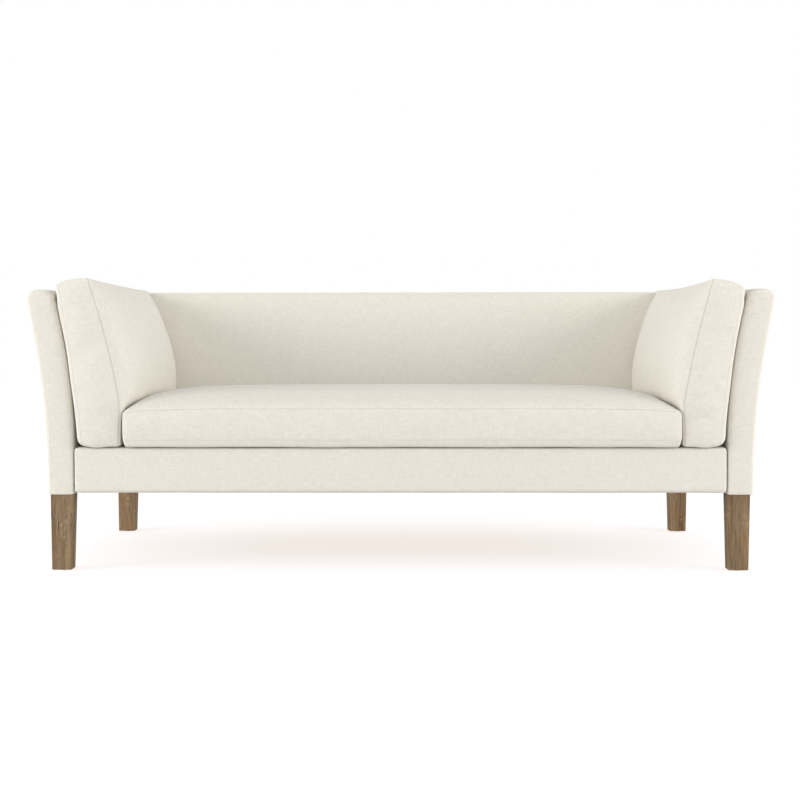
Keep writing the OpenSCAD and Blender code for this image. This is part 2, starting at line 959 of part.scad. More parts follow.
// The outside of the front rail, soft along its front edges and square behind
module front_rail_form(inset) {
    r = rail_edge_r - inset;
    zs = [rail_cover_z + rail_edge_r, deck_h - rail_edge_r];
    hull() {
        for (side = [-1, 1], z = zs)
            translate([side * (base_w / 2 - rail_edge_r), front_y + rail_edge_r, z])
                sphere(r, $fn = ball_fn);
        for (side = [-1, 1], z = zs)
            translate([side * (base_w / 2 - rail_edge_r), front_y + rail_edge_r, z])
                rotate([-90, 0, 0])
                    cylinder(r = r, h = deck_cover_y - front_y - rail_edge_r, $fn = ball_fn);
    }
}

module front_rail_cover() {
    color(linen)
        difference() {
            front_rail_form(0);
            front_rail_form(cover_t);
            translate([-base_w / 2 + rail_edge_r, deck_cover_y - overrun,
                       rail_cover_z + cover_t])
                cube([base_w - 2 * rail_edge_r, 2 * overrun,
                      deck_h - rail_cover_z - 2 * cover_t]);
        }
}

module dust_cover() {
    color(black_cloth)
        translate([-rail_end_x, deck_cover_y + fit, rail_z - fit - dust_t])
            cube([2 * rail_end_x, rear_rail_end_y - deck_cover_y - 2 * fit, dust_t]);
}

// Boxed cushions: an upper and a lower panel on one grid, joined by a boxing ring

function eased(i, n) = (1 - cos(180 * i / n)) / 2;
function edge_cells(nu, nv) = concat(
    [for (i = [0 : nu - 1]) [i, 0]],
    [for (j = [0 : nv - 1]) [nu, j]],
    [for (i = [nu : -1 : 1]) [i, nv]],
    [for (j = [nv : -1 : 1]) [0, j]]
);
function panel_points(panel, nu, nv) = [
    for (i = [0 : nu], j = [0 : nv]) panel(eased(i, nu), eased(j, nv))
];
function panel_faces(nu, nv, first, flip) = [
    for (i = [0 : nu - 1], j = [0 : nv - 1], half = [0, 1])
        let (
            a = first + i * (nv + 1) + j,
            b = a + 1,
            c = a + nv + 2,
            d = a + nv + 1,
            tri = half == 0 ? [a, b, c] : [a, c, d]
        )
        flip ? [tri[2], tri[1], tri[0]] : tri
];
function band_faces(low, high) = [
    for (k = [0 : len(low) - 1], half = [0, 1])
        let (m = (k + 1) % len(low))
        half == 0 ? [low[k], high[k], high[m]] : [low[k], high[m], low[m]]
];

module boxed_cushion(upper, lower, boxing, nu, nv) {
    cells = edge_cells(nu, nv);
    count = (nu + 1) * (nv + 1);
    upper_edge = [for (c = cells) c[0] * (nv + 1) + c[1]];
    lower_edge = [for (i = upper_edge) i + count];
    middle = [for (k = [0 : len(cells) - 1]) 2 * count + k];
    polyhedron(
        points = concat(
            panel_points(upper, nu, nv),
            panel_points(lower, nu, nv),
            [for (c = cells) boxing(eased(c[0], nu), eased(c[1], nv))]
        ),
        faces = concat(
            panel_faces(nu, nv, 0, false),
            panel_faces(nu, nv, count, true),
            band_faces(lower_edge, middle),
            band_faces(middle, upper_edge)
        )
    );
}

// Height of a pillow crown from one edge to the other, full in the middle
function crown(t, power, round) = pow(max(0, 1 - pow(abs(2 * t - 1), power)), round);
// Nought on the edge of a panel and one beyond a margin, both in lengths
function inside_edge(t, length, margin) = min(1, min(t, 1 - t) * length / margin);

function seat_rear_at(z) = back_face_at(z) - back_rest_gap;
function seat_place(u, v, z, inset) = [
    (2 * u - 1) * (seat_w / 2 - inset),
    cushion_y + inset + v * (seat_rear_at(z) - cushion_y - 2 * inset),
    z
];
function seat_seam_at(u) = top_seam_z - seam_drop * pow(abs(2 * u - 1), seat_end_power_share);
function seat_fill(u, v) =
    crown(u, seat_end_power_share, seat_end_round_share)
        * crown(v, seat_front_power_share, seat_front_round_share);
function seat_upper(u, v) =
    let (seam = seat_seam_at(u))
    seat_place(u, v, seam + (top_seam_z + seat_crown - seam) * seat_fill(u, v), 0);
function seat_lower(u, v) = seat_place(u, v,
    low_seam_z - low_seam_h * inside_edge(u, seat_w, low_seam_h)
        * inside_edge(v, overall_d, low_seam_h), 0);
function seat_boxing(u, v) = seat_place(u, v, (low_seam_z + seat_seam_at(u)) / 2, draw_in);

seat_core_in = low_seam_h + draw_in;

module seat_core_room(clear) {
    across(-seat_w / 2 + seat_core_in - clear, seat_w / 2 - seat_core_in + clear)
        polygon([
            [cushion_y + seat_core_in - clear, low_seam_z - clear],
            [seat_rear_at(low_seam_z) - seat_core_in + clear, low_seam_z - clear],
            [seat_rear_at(low_seam_z) - seat_core_in + clear,
             low_seam_z + seat_core_t + clear],
            [cushion_y + seat_core_in - clear, low_seam_z + seat_core_t + clear]
        ]);
}

module seat_cushion() {
    color(linen)
        difference() {
            boxed_cushion(
                function(u, v) seat_upper(u, v),
                function(u, v) seat_lower(u, v),
                function(u, v) seat_boxing(u, v),
                seat_nu, seat_nv
            );
            seat_core_room(fit);
        }
}

module seat_cushion_core() {
    color(foam) seat_core_room(0);
}

// Arm cushion: the first share runs up its height and the second back along its length

function side_z(f, v) = deck_h + rest_gap + f * (side_h + side_rise * v);
function side_y(v, z, inset) =
    cushion_y + inset + v * (seat_rear_at(z) - cushion_y - 2 * inset);
function side_inner_x(z) = side_foot_x
    + (side_top_x - side_foot_x) * max(0, z - end_seam_z) / (side_top_z - end_seam_z);
function side_outer_x(y, z, f) =
    arm_inner_at(y, z) - side_fit_gap - (side_foot_gap - side_fit_gap) * max(0, 1 - f);
function side_swell(z) =
    let (g = (z - side_bulge_z) / (side_top_z - side_bulge_z))
    g <= 0 || g >= 1 ? 0 : pow(sin(180 * g), side_round_share);
function side_inner(f, v) =
    let (z = side_z(f, v), y = side_y(v, z, 0))
    [
        side_inner_x(z) - side_crown * side_swell(z) * pow(max(0, sin(180 * v)), side_round_share),
        y,
        z
    ];
function side_outer(f, v) =
    let (
        low = side_seam_in * (1 - f),
        z = side_z(f, v) + low / 2 - side_seam_in * f / 2,
        y = side_y(v, z, 0),
        edge = inside_edge(f, side_h, side_seam_in) * inside_edge(v, overall_d, side_seam_in)
    )
    [side_outer_x(y, z, f) - side_seam_in * (1 - edge), y, z];
function side_boxing(f, v) =
    let (
        upright = f == 0 || f == 1,
        z = side_z(f, v),
        y = side_y(v, z, upright ? 0 : draw_in),
        inner = side_inner_x(z),
        outer = side_outer_x(y, z, f)
    )
    [(inner + outer) / 2, y, z];

// The leaning slab of foam inside an arm cushion
module side_core_room(clear) {
    low_z = deck_h + side_seam_in + seat_core_in;
    high_z = side_top_z - side_seam_in - draw_in;
    far_y = seat_rear_at(low_z) - 2 * seat_core_in;
    middle_low = (side_inner_x(low_z) + side_outer_x(far_y, low_z, 0)) / 2;
    middle_high = (side_inner_x(high_z) + side_outer_x(far_y, high_z, 1)) / 2;
    half = side_core_t / 2 + clear;
    along(cushion_y + seat_core_in - clear, far_y + clear)
        polygon([
            [middle_low - half, low_z - clear],
            [middle_low + half, low_z - clear],
            [middle_high + half, high_z + clear],
            [middle_high - half, high_z + clear]
        ]);
}

module arm_cushion(side) {
    color(linen)
        handed(side)
            difference() {
                boxed_cushion(
                    function(f, v) side_inner(f, v),
                    function(f, v) side_outer(f, v),
                    function(f, v) side_boxing(f, v),
                    side_nu, side_nv
                );
                side_core_room(fit);
            }
}

module arm_cushion_core(side) {
    color(foam) handed(side) side_core_room(0);
}

leg(-1, leg_front_y);  // front_left_leg
leg(1, leg_front_y);  // front_right_leg
leg(-1, leg_rear_y);  // rear_left_leg
leg(1, leg_rear_y);  // rear_right_leg
floor_glides();
leg_hanger_bolts();
leg_inserts();
front_rail();
rear_rail();
side_rail(-1);  // left_side_rail
side_rail(1);  // right_side_rail
seat_stretchers();
corner_blocks();
frame_screws();
arm_base_rail(-1);  // left_arm_base_rail
arm_base_rail(1);  // right_arm_base_rail
arm_front_post(-1);  // left_arm_front_post
arm_front_post(1);  // right_arm_front_post
arm_rear_post(-1);  // left_arm_rear_post
arm_rear_post(1);  // right_arm_rear_post
arm_top_rail(-1);  // left_arm_top_rail
arm_top_rail(1);  // right_arm_top_rail
arm_tack_rail(-1);  // left_arm_tack_rail
arm_tack_rail(1);  // right_arm_tack_rail
arm_outer_panel(-1);  // left_arm_outer_panel
arm_outer_panel(1);  // right_arm_outer_panel
arm_inner_panel(-1);  // left_arm_inner_panel
arm_inner_panel(1);  // right_arm_inner_panel
arm_bolts();
back_post(-end_post_x, block_h);  // left_back_post
back_post(-bay_w / 2, stretcher_h);  // left_mid_back_post
back_post(bay_w / 2, stretcher_h);  // right_mid_back_post
back_post(end_post_x, block_h);  // right_back_post
back_top_rail();
back_tack_rails();
back_webbing();
outside_back_panel();
seat_springs();
spring_clips();
spring_tie_wires();
deck_felt();
front_rail_padding();
back_padding();
arm_padding(-1);  // left_arm_padding
arm_padding(1);  // right_arm_padding
deck_cover();
front_rail_cover();
dust_cover();
back_cover();
arm_cover(-1);  // left_arm_cover
arm_cover(1);  // right_arm_cover
seat_cushion();
seat_cushion_core();
arm_cushion(-1);  // left_arm_cushion
arm_cushion_core(-1);  // left_arm_cushion_core
arm_cushion(1);  // right_arm_cushion
arm_cushion_core(1);  // right_arm_cushion_core
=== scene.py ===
import json
import math

import bmesh
import bpy
import numpy as np
from mathutils import Euler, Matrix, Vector, noise


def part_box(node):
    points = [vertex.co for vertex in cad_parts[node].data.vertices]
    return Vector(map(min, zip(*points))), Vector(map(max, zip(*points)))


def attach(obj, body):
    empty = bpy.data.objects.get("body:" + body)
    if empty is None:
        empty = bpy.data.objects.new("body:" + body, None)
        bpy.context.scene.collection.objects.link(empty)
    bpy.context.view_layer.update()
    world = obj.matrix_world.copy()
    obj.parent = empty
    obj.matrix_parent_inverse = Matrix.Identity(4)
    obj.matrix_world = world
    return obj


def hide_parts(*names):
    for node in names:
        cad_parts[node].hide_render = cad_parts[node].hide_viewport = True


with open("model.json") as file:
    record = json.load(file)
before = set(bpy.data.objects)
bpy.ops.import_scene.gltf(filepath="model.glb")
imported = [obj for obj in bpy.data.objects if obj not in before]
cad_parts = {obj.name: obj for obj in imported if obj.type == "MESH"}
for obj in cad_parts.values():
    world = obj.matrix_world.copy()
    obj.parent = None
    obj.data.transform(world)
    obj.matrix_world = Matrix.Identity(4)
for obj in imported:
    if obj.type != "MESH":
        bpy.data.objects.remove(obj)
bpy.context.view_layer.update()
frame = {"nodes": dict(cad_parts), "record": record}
scene = bpy.context.scene

# Sizes in metres that the upholstery shares with the frame
FRONT_Y = -0.457
REAR_Y = 0.457
DEPTH = REAR_Y - FRONT_Y
BACK_H = 0.845
ARM_H = 0.811
LEG_H = 0.220
DECK_Z = 0.3575
RAIL_Z = 0.225
ARM_IN_X = 0.9400
ARM_OUT_X = 1.0145
ARM_IN_FLARE = 0.0502
ARM_OUT_FLARE = 0.059
FLARE_IN_Z = 0.360
FLARE_OUT_Z = 0.260
SHOULDER_Z = 0.782
BACK_TOP_T = 0.117
FACE_RAKE = math.radians(9.7)
REAR_RAKE = math.radians(5.2)
JOINT_GAP = 0.001


def flare_radius(start_z, flare):
    height = SHOULDER_Z - start_z
    return (height ** 2 + flare ** 2) / (2 * flare)


ARM_IN_R = flare_radius(FLARE_IN_Z, ARM_IN_FLARE)
ARM_OUT_R = flare_radius(FLARE_OUT_Z, ARM_OUT_FLARE)


def back_rear_at(z):
    return REAR_Y - (BACK_H - z) * math.tan(REAR_RAKE)


def back_face_at(z):
    return REAR_Y - BACK_TOP_T - (BACK_H - z) * math.tan(FACE_RAKE)


def arm_rise_at(y):
    return (y - FRONT_Y) / DEPTH * (BACK_H - ARM_H)


def flare_at(height, radius):
    return radius - math.sqrt(radius ** 2 - max(0.0, height) ** 2)


def arm_inner_at(y, z):
    return ARM_IN_X + flare_at(z - arm_rise_at(y) - FLARE_IN_Z, ARM_IN_R)


# Finishes

def new_material(name):
    material = bpy.data.materials.new(name)
    material.use_nodes = True
    tree = material.node_tree
    shader = tree.nodes["Principled BSDF"]
    return material, tree, shader


def add_node(tree, kind, **inputs):
    node = tree.nodes.new(kind)
    for key, value in inputs.items():
        if key in node.inputs:
            node.inputs[key].default_value = value
        else:
            setattr(node, key, value)
    return node


def maths(tree, operation, first, second=0.0):
    node = tree.nodes.new("ShaderNodeMath")
    node.operation = operation
    for socket, value in zip(node.inputs, (first, second)):
        if isinstance(value, (int, float)):
            socket.default_value = value
        else:
            tree.links.new(value, socket)
    return node.outputs[0]


def weighted_sum(tree, *shares):
    """Adds up values that each come with a weight."""
    total = 0.0
    for value, weight in shares:
        total = maths(tree, "ADD", maths(tree, "MULTIPLY", value, weight), total)
    return total


def patches(tree, value, threshold, sharpness):
    """Marks where a value is over a threshold, or under it where the sharpness is negative."""
    mask = maths(tree, "MULTIPLY", maths(tree, "SUBTRACT", value, threshold), sharpness)
    mask.node.use_clamp = True
    return mask


def stretched_noise(tree, place, stretch, detail=3.0, roughness=0.55):
    mapping = add_node(tree, "ShaderNodeMapping")
    mapping.inputs["Scale"].default_value = stretch
    tree.links.new(place, mapping.inputs["Vector"])
    texture = add_node(tree, "ShaderNodeTexNoise", Scale=1.0, Detail=detail, Roughness=roughness)
    tree.links.new(mapping.outputs[0], texture.inputs["Vector"])
    return texture.outputs["Fac"]


def colour_between(tree, factor, low, high, start=0.3, end=0.7):
    ramp = tree.nodes.new("ShaderNodeValToRGB")
    ramp.color_ramp.elements[0].position = start
    ramp.color_ramp.elements[0].color = (*low, 1)
    ramp.color_ramp.elements[1].position = end
    ramp.color_ramp.elements[1].color = (*high, 1)
    tree.links.new(factor, ramp.inputs[0])
    return ramp.outputs[0]


def lay_over(tree, under, colour, factor):
    """Covers a colour with a plain one, as far as the factor says."""
    mix = tree.nodes.new("ShaderNodeMix")
    mix.data_type = "RGBA"
    tree.links.new(factor, mix.inputs["Factor"])
    tree.links.new(under, mix.inputs["A"])
    mix.inputs["B"].default_value = (*colour, 1)
    return mix.outputs["Result"]


def raise_surface(tree, shader, height, strength, distance):
    bump = add_node(tree, "ShaderNodeBump", Strength=strength, Distance=distance)
    tree.links.new(height, bump.inputs["Height"])
    tree.links.new(bump.outputs[0], shader.inputs["Normal"])


THREAD = 0.0011
YARNS_ALONG = (42.0, 380.0, 1.0)
YARNS_ACROSS = (380.0, 42.0, 1.0)
SLUBS = (18.0, 200.0, 1.0)
MOTTLE = (70.0, 70.0, 70.0)
YARN_WEIGHT, SLUB_WEIGHT, MOTTLE_WEIGHT, CROSSING_WEIGHT = 0.34, 0.15, 0.17, 0.03
LINEN_CONTRAST = (0.39, 0.61)
KNOT_LIFT, YARN_LIFT = 0.55, 1.5
# Painted shade: seams are darkened in the colour, standing in for the shadow in each seam's
# groove.
SEAM_PAINTED_SHADE = 0.5
SEAM_PAINTED_SHADOW_TONE = (0.30, 0.245, 0.185)


def linen_finish(name, pale, deep):
    """Plain woven linen: crossing threads, uneven yarns both ways, and a painted shadow line along
    the seams.
    """
    material, tree, shader = new_material(name)
    cloth = add_node(tree, "ShaderNodeUVMap", uv_map="weave").outputs[0]
    solid = add_node(tree, "ShaderNodeTexCoord").outputs["Object"]
    split = tree.nodes.new("ShaderNodeSeparateXYZ")
    tree.links.new(cloth, split.inputs[0])
    turns = math.pi / THREAD
    warp = maths(tree, "SINE", maths(tree, "MULTIPLY", split.outputs[0], turns))
    weft = maths(tree, "SINE", maths(tree, "MULTIPLY", split.outputs[1], turns))
    crossing = maths(tree, "MULTIPLY", warp, weft)
    knots = maths(tree, "ABSOLUTE", crossing)
    along = stretched_noise(tree, cloth, YARNS_ALONG, 2.0)
    across = stretched_noise(tree, cloth, YARNS_ACROSS, 2.0)
    slubs = stretched_noise(tree, cloth, SLUBS, 2.0)
    mottle = stretched_noise(tree, solid, MOTTLE, 3.0, 0.6)
    yarns = weighted_sum(tree, (along, YARN_WEIGHT), (across, YARN_WEIGHT), (slubs, SLUB_WEIGHT))
    woven = weighted_sum(tree, (yarns, 1.0), (mottle, MOTTLE_WEIGHT),
                         (crossing, CROSSING_WEIGHT))
    colour = colour_between(tree, woven, deep, pale, *LINEN_CONTRAST)
    # Painted shade: darkens the colour along the seams as far as the seam layer says.
    shade = add_node(tree, "ShaderNodeAttribute", attribute_name="seam_painted_shade").outputs["Fac"]
    with_painted_seam_shadow = lay_over(tree, colour, SEAM_PAINTED_SHADOW_TONE, maths(tree, "MULTIPLY", shade, SEAM_PAINTED_SHADE))
    tree.links.new(with_painted_seam_shadow, shader.inputs["Base Color"])
    height = weighted_sum(tree, (knots, KNOT_LIFT), (yarns, YARN_LIFT))
    raise_surface(tree, shader, height, 0.3, 0.0006)
    shader.inputs["Roughness"].default_value = 0.93
    shader.inputs["Specular IOR Level"].default_value = 0.18
    shader.inputs["Sheen Weight"].default_value = 0.1
    shader.inputs["Sheen Roughness"].default_value = 0.6
    return material


BROAD_GRAIN, PORE_GRAIN = 0.16, 2.4
WORN_SIZE = (14.0, 14.0, 9.0)
SCUFF_SIZE = (30.0, 30.0, 16.0)
FLECK_SIZE = (330.0, 330.0, 130.0)
PORE_DARK, FLECK_PALE = 0.45, 1.2


def timber_finish(name, pale, deep, streak, grain, rough, contrast=(0.33, 0.68)):
    """Straight grained wood: broad streaks, worn patches, dark pores and pale flecks."""
    material, tree, shader = new_material(name)
    solid = add_node(tree, "ShaderNodeTexCoord").outputs["Object"]
    broad = stretched_noise(tree, solid, [g * BROAD_GRAIN for g in grain], 4.0, 0.6)
    fine = stretched_noise(tree, solid, grain, 5.0, 0.7)
    pores = stretched_noise(tree, solid, [g * PORE_GRAIN for g in grain], 2.0, 0.5)
    body = weighted_sum(tree, (broad, 0.55), (fine, 0.45))
    colour = colour_between(tree, body, deep, pale, *contrast)
    worn = stretched_noise(tree, solid, WORN_SIZE, 3.0, 0.6)
    colour = lay_over(tree, colour, streak, patches(tree, worn, 0.5, 1.6))
    pore_tone = [PORE_DARK * c for c in deep]
    colour = lay_over(tree, colour, pore_tone, patches(tree, pores, 0.43, -4.5))
    scuffs = patches(tree, stretched_noise(tree, solid, SCUFF_SIZE, 2.0, 0.5), 0.54, 9.0)
    flecks = patches(tree, stretched_noise(tree, solid, FLECK_SIZE, 2.0, 0.6), 0.54, 9.0)
    fleck_tone = [min(1.0, FLECK_PALE * c) for c in pale]
    colour = lay_over(tree, colour, fleck_tone, maths(tree, "MULTIPLY", scuffs, flecks))
    tree.links.new(colour, shader.inputs["Base Color"])
    raise_surface(tree, shader, maths(tree, "ADD", fine, pores), 0.35, 0.0006)
    shader.inputs["Roughness"].default_value = rough
    shader.inputs["Specular IOR Level"].default_value = 0.15
    return material


def plain_finish(name, pale, deep, size, rough, metal=0.0, lift=0.0002):
    """One colour with a fine cloudy grain of the given size."""
    material, tree, shader = new_material(name)
    solid = add_node(tree, "ShaderNodeTexCoord").outputs["Object"]
    cloud = stretched_noise(tree, solid, (1 / size,) * 3, 4.0, 0.6)
    tree.links.new(colour_between(tree, cloud, deep, pale), shader.inputs["Base Color"])
    raise_surface(tree, shader, cloud, 0.3, lift)
    shader.inputs["Roughness"].default_value = rough
    shader.inputs["Metallic"].default_value = metal
    return material


linen = linen_finish("oat_linen", (0.792, 0.762, 0.694), (0.700, 0.670, 0.604))
decking = linen_finish("oat_decking", (0.80, 0.77, 0.69), (0.71, 0.68, 0.60))
oak = timber_finish("weathered_oak", (0.358, 0.260, 0.155), (0.106, 0.063, 0.031),
                    (0.345, 0.150, 0.055), (210.0, 210.0, 9.0), 0.62, (0.36, 0.66))
# Rear legs: a paler copy of the oak, painted light that stands in for the light they lose in the
# shade under the seat.
rear_oak_painted_lighter = timber_finish("weathered_oak_painted_lighter", (0.505, 0.355, 0.208), (0.170, 0.100, 0.049),
                         (0.465, 0.200, 0.072), (210.0, 210.0, 9.0), 0.62, (0.36, 0.66))
beech = timber_finish("frame_beech", (0.66, 0.47, 0.28), (0.52, 0.34, 0.18),
                      (0.62, 0.43, 0.25), (16.0, 160.0, 160.0), 0.6)
steel = plain_finish("zinced_steel", (0.62, 0.63, 0.65), (0.42, 0.43, 0.45), 0.006, 0.38, 1.0)
spring_steel = plain_finish("spring_steel", (0.36, 0.37, 0.39), (0.22, 0.22, 0.24),
                            0.005, 0.4, 1.0)
foam = plain_finish("cut_foam", (0.88, 0.80, 0.52), (0.80, 0.71, 0.42), 0.0016, 0.95, 0.0, 0.0006)
felt = plain_finish("grey_felt", (0.60, 0.57, 0.50), (0.42, 0.39, 0.34), 0.003, 0.98, 0.0, 0.0008)
hardboard = plain_finish("brown_hardboard", (0.33, 0.20, 0.11), (0.23, 0.13, 0.07), 0.004, 0.7)
jute = plain_finish("jute_webbing", (0.36, 0.27, 0.15), (0.20, 0.14, 0.07),
                    0.0025, 0.9, 0.0, 0.0006)
nylon = plain_finish("white_nylon", (0.80, 0.79, 0.75), (0.72, 0.71, 0.67), 0.008, 0.4)
black_cloth = plain_finish("black_dust_cloth", (0.035, 0.034, 0.033), (0.018, 0.018, 0.018),
                           0.0022, 0.95, 0.0, 0.0005)

SLOT_FINISH = {
    "leg_oak": oak, "glide_nylon": nylon, "hardware_steel": steel,
    "spring_steel": spring_steel, "felt": felt, "dust_cloth": black_cloth,
    "webbing": jute, "foam": foam, "linen": linen, "hardboard": hardboard,
    "frame_wood": beech,
}
for part in frame["record"]["subparts"]:
    mesh = frame["nodes"][part["node"]].data
    mesh.materials.clear()
    mesh.materials.append(SLOT_FINISH[part["material_slot"]])


# Making pieces

def piece_from(bm, name, finish):
    bmesh.ops.remove_doubles(bm, verts=bm.verts, dist=1e-6)
    bmesh.ops.recalc_face_normals(bm, faces=bm.faces)
    mesh = bpy.data.meshes.new(name)
    bm.to_mesh(mesh)
    bm.free()
    mesh.materials.append(finish)
    piece = bpy.data.objects.new(name, mesh)
    scene.collection.objects.link(piece)
    return piece


def round_edges(bm, edges, radius, segments):
    return bmesh.ops.bevel(bm, geom=edges, offset=radius, offset_type="OFFSET", affect="EDGES",
                           segments=segments, profile=0.5, material=-1, clamp_overlap=True)


def sharp_edges(bm, degrees):
    return [e for e in bm.edges if e.is_manifold and e.calc_face_angle() > math.radians(degrees)]


def settle(piece):
    """Turns the live modifiers of a piece into its mesh."""
    graph = bpy.context.evaluated_depsgraph_get()
    done = bpy.data.meshes.new_from_object(piece.evaluated_get(graph))
    piece.modifiers.clear()
    old = piece.data
    piece.data = done
    bpy.data.meshes.remove(old)
    done.name = piece.name


def smooth_out(piece, levels):
    fine = piece.modifiers.new("fine", "SUBSURF")
    fine.levels = fine.render_levels = levels
    settle(piece)
    piece.data.shade_smooth()


def lay_weave(piece):
    """Maps the cloth in metres on each face from the axis that the face looks along."""
    mesh = piece.data
    layer = mesh.uv_layers.new(name="weave")
    count = len(mesh.polygons)
    normals = np.zeros(count * 3, np.float32)
    totals = np.zeros(count, np.int32)
    mesh.polygons.foreach_get("normal", normals)
    mesh.polygons.foreach_get("loop_total", totals)
    looks = np.abs(normals.reshape(-1, 3)).argmax(1)
    places = np.zeros(len(mesh.vertices) * 3, np.float32)
    mesh.vertices.foreach_get("co", places)
    corners = np.zeros(len(mesh.loops), np.int32)
    mesh.loops.foreach_get("vertex_index", corners)
    at = places.reshape(-1, 3)[corners]
    look = np.repeat(looks, totals)
    first = np.where(look == 0, at[:, 1], at[:, 0])
    second = np.where(look == 2, at[:, 1], at[:, 2])
    layer.data.foreach_set("uv", np.stack([first, second], 1).ravel())


def ripple(piece, size, depth, seed):
    """Moves a soft surface a little in and out along its normals."""
    mesh = piece.data
    shift = Vector((seed, 2 * seed, 3 * seed))
    moved = [v.co + v.normal * depth * noise.noise(v.co / size + shift) for v in mesh.vertices]
    for vertex, place in zip(mesh.vertices, moved):
        vertex.co = place


def upholstered(piece, body, covers):
    lay_weave(piece)
    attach(piece, body)
    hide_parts(*covers)


# Boxed cushions

ON_FACE = 0.999
GRID_DRAW = 0.72
SEAM_W = 0.0014
SEAM_DEPTH = 0.0018
SLACK_SEAM = 0.4
FILL_FRAMES = 20
FILL_PRESSURE = 3.0
FILL_REACH = 0.006


def boxed_grid(cuts):
    """A cube from -1 to 1 that is cut into a grid of its own along each axis."""
    bm = bmesh.new()
    bmesh.ops.create_cube(bm, size=2)
    for axis, count in enumerate(cuts):
        lines = [e for e in bm.edges if abs((e.verts[0].co - e.verts[1].co)[axis]) > 1e-6]
        bmesh.ops.subdivide_edges(bm, edges=lines, cuts=count, use_grid_fill=True)
    return bm


def drawn(t):
    """A share from nought to one whose steps are shorter near both ends."""
    return t - GRID_DRAW * math.sin(2 * math.pi * t) / (2 * math.pi)


def crown(t, power, roundness=1):
    """Nought at both ends and one in the middle, flatter there with a higher power."""
    return max(0.0, 1 - abs(2 * t - 1) ** power) ** roundness


def quarter(t):
    t = min(1.0, max(0.0, t))
    return math.sqrt(1 - (1 - t) ** 2)


def full_turn(t):
    """A quarter turn that is squarer than a circle's."""
    t = min(1.0, max(0.0, t))
    return (1 - (1 - t) ** 3) ** (1 / 3)


def round_corner(across, half_across, along, half_along, radius):
    """Moves a point of a rectangle so that the rectangle's corners are rounded."""
    qa = abs(across) - (half_across - radius)
    ql = abs(along) - (half_along - radius)
    if qa <= 0 or ql <= 0:
        return across, along
    reach = max(qa, ql) / math.hypot(qa, ql)
    return (math.copysign(half_across - radius + qa * reach, across),
            math.copysign(half_along - radius + ql * reach, along))


def stuff(piece, held):
    """Fills the cover with a short cloth simulation and keeps each point near its pattern."""
    start = [v.co.copy() for v in piece.data.vertices]
    group = piece.vertex_groups.new(name="held")
    for index, weight in held.items():
        group.add([index], weight, "REPLACE")
    cloth = piece.modifiers.new("filling", "CLOTH")
    cloth.settings.vertex_group_mass = "held"
    cloth.settings.effector_weights.gravity = 0
    cloth.settings.use_pressure = True
    cloth.settings.uniform_pressure_force = FILL_PRESSURE
    cloth.settings.quality = 6
    cloth.settings.shrink_min = -0.008
    cloth.point_cache.frame_start = 1
    cloth.point_cache.frame_end = FILL_FRAMES
    for number in range(1, FILL_FRAMES + 1):
        scene.frame_set(number)
    graph = bpy.context.evaluated_depsgraph_get()
    filled = piece.evaluated_get(graph).data
    ends = [v.co.copy() for v in filled.vertices]
    piece.modifiers.remove(cloth)
    piece.vertex_groups.remove(group)
    for vertex, before, after in zip(piece.data.vertices, start, ends):
        move = after - before
        if move.length > FILL_REACH:
            move *= FILL_REACH / move.length
        vertex.co = before + move
    scene.frame_set(1)


def sew_seams(piece, pull_and_shade):
    """Opens a narrow groove along every marked edge, as deep as the thread's tightness there, and
    paints a shadow line along it as dark as that tightness.
    """
    bm = bmesh.new()
    bm.from_mesh(piece.data)
    shade = bm.verts.layers.float.new("seam_painted_shade")
    bm.normal_update()
    made = round_edges(bm, [e for e in bm.edges if e.seam], SEAM_W, 2)
    strip = set(made["faces"])
    bm.normal_update()
    middle = [v for v in made["verts"] if all(f in strip for f in v.link_faces)]
    moves = [(v, v.normal.copy()) for v in middle]
    for vertex, normal in moves:
        tightness_and_shade = pull_and_shade(vertex.co)
        # Painted shade: the seam's shadow line is written into the colour through this layer.
        vertex[shade] = tightness_and_shade
        vertex.co -= normal * SEAM_DEPTH * (SLACK_SEAM + (1 - SLACK_SEAM) * tightness_and_shade)
    bm.to_mesh(piece.data)
    bm.free()


def mark_seams(bm, axis):
    """Marks the edges round the two panels that face along an axis."""
    others = [i for i in range(3) if i != axis]
    for edge in bm.edges:
        ends = [v.co for v in edge.verts]
        on_panel = any(all(abs(p[axis] - s) < 1e-4 for p in ends) for s in (-1, 1))
        on_side = any(all(abs(p[o] - s) < 1e-4 for p in ends) for o in others for s in (-1, 1))
        edge.seam = on_panel and on_side


def make_cushion(name, cuts, axis, place, is_held, pull_and_shade, levels):
    """Shapes a boxed cushion from a cube's grid, fills it, sews its seams and smooths it."""
    bm = boxed_grid(cuts)
    mark_seams(bm, axis)
    bm.verts.index_update()
    held = {v.index: 1.0 for v in bm.verts
            if is_held(*v.co) or any(e.seam for e in v.link_edges)}
    for vertex in bm.verts:
        vertex.co = place(*vertex.co)
    bmesh.ops.recalc_face_normals(bm, faces=bm.faces)
    mesh = bpy.data.meshes.new(name)
    bm.to_mesh(mesh)
    bm.free()
    mesh.materials.append(linen)
    piece = bpy.data.objects.new(name, mesh)
    scene.collection.objects.link(piece)
    stuff(piece, held)
    sew_seams(piece, pull_and_shade)
    smooth_out(piece, levels)
    return piece


# Seat cushion

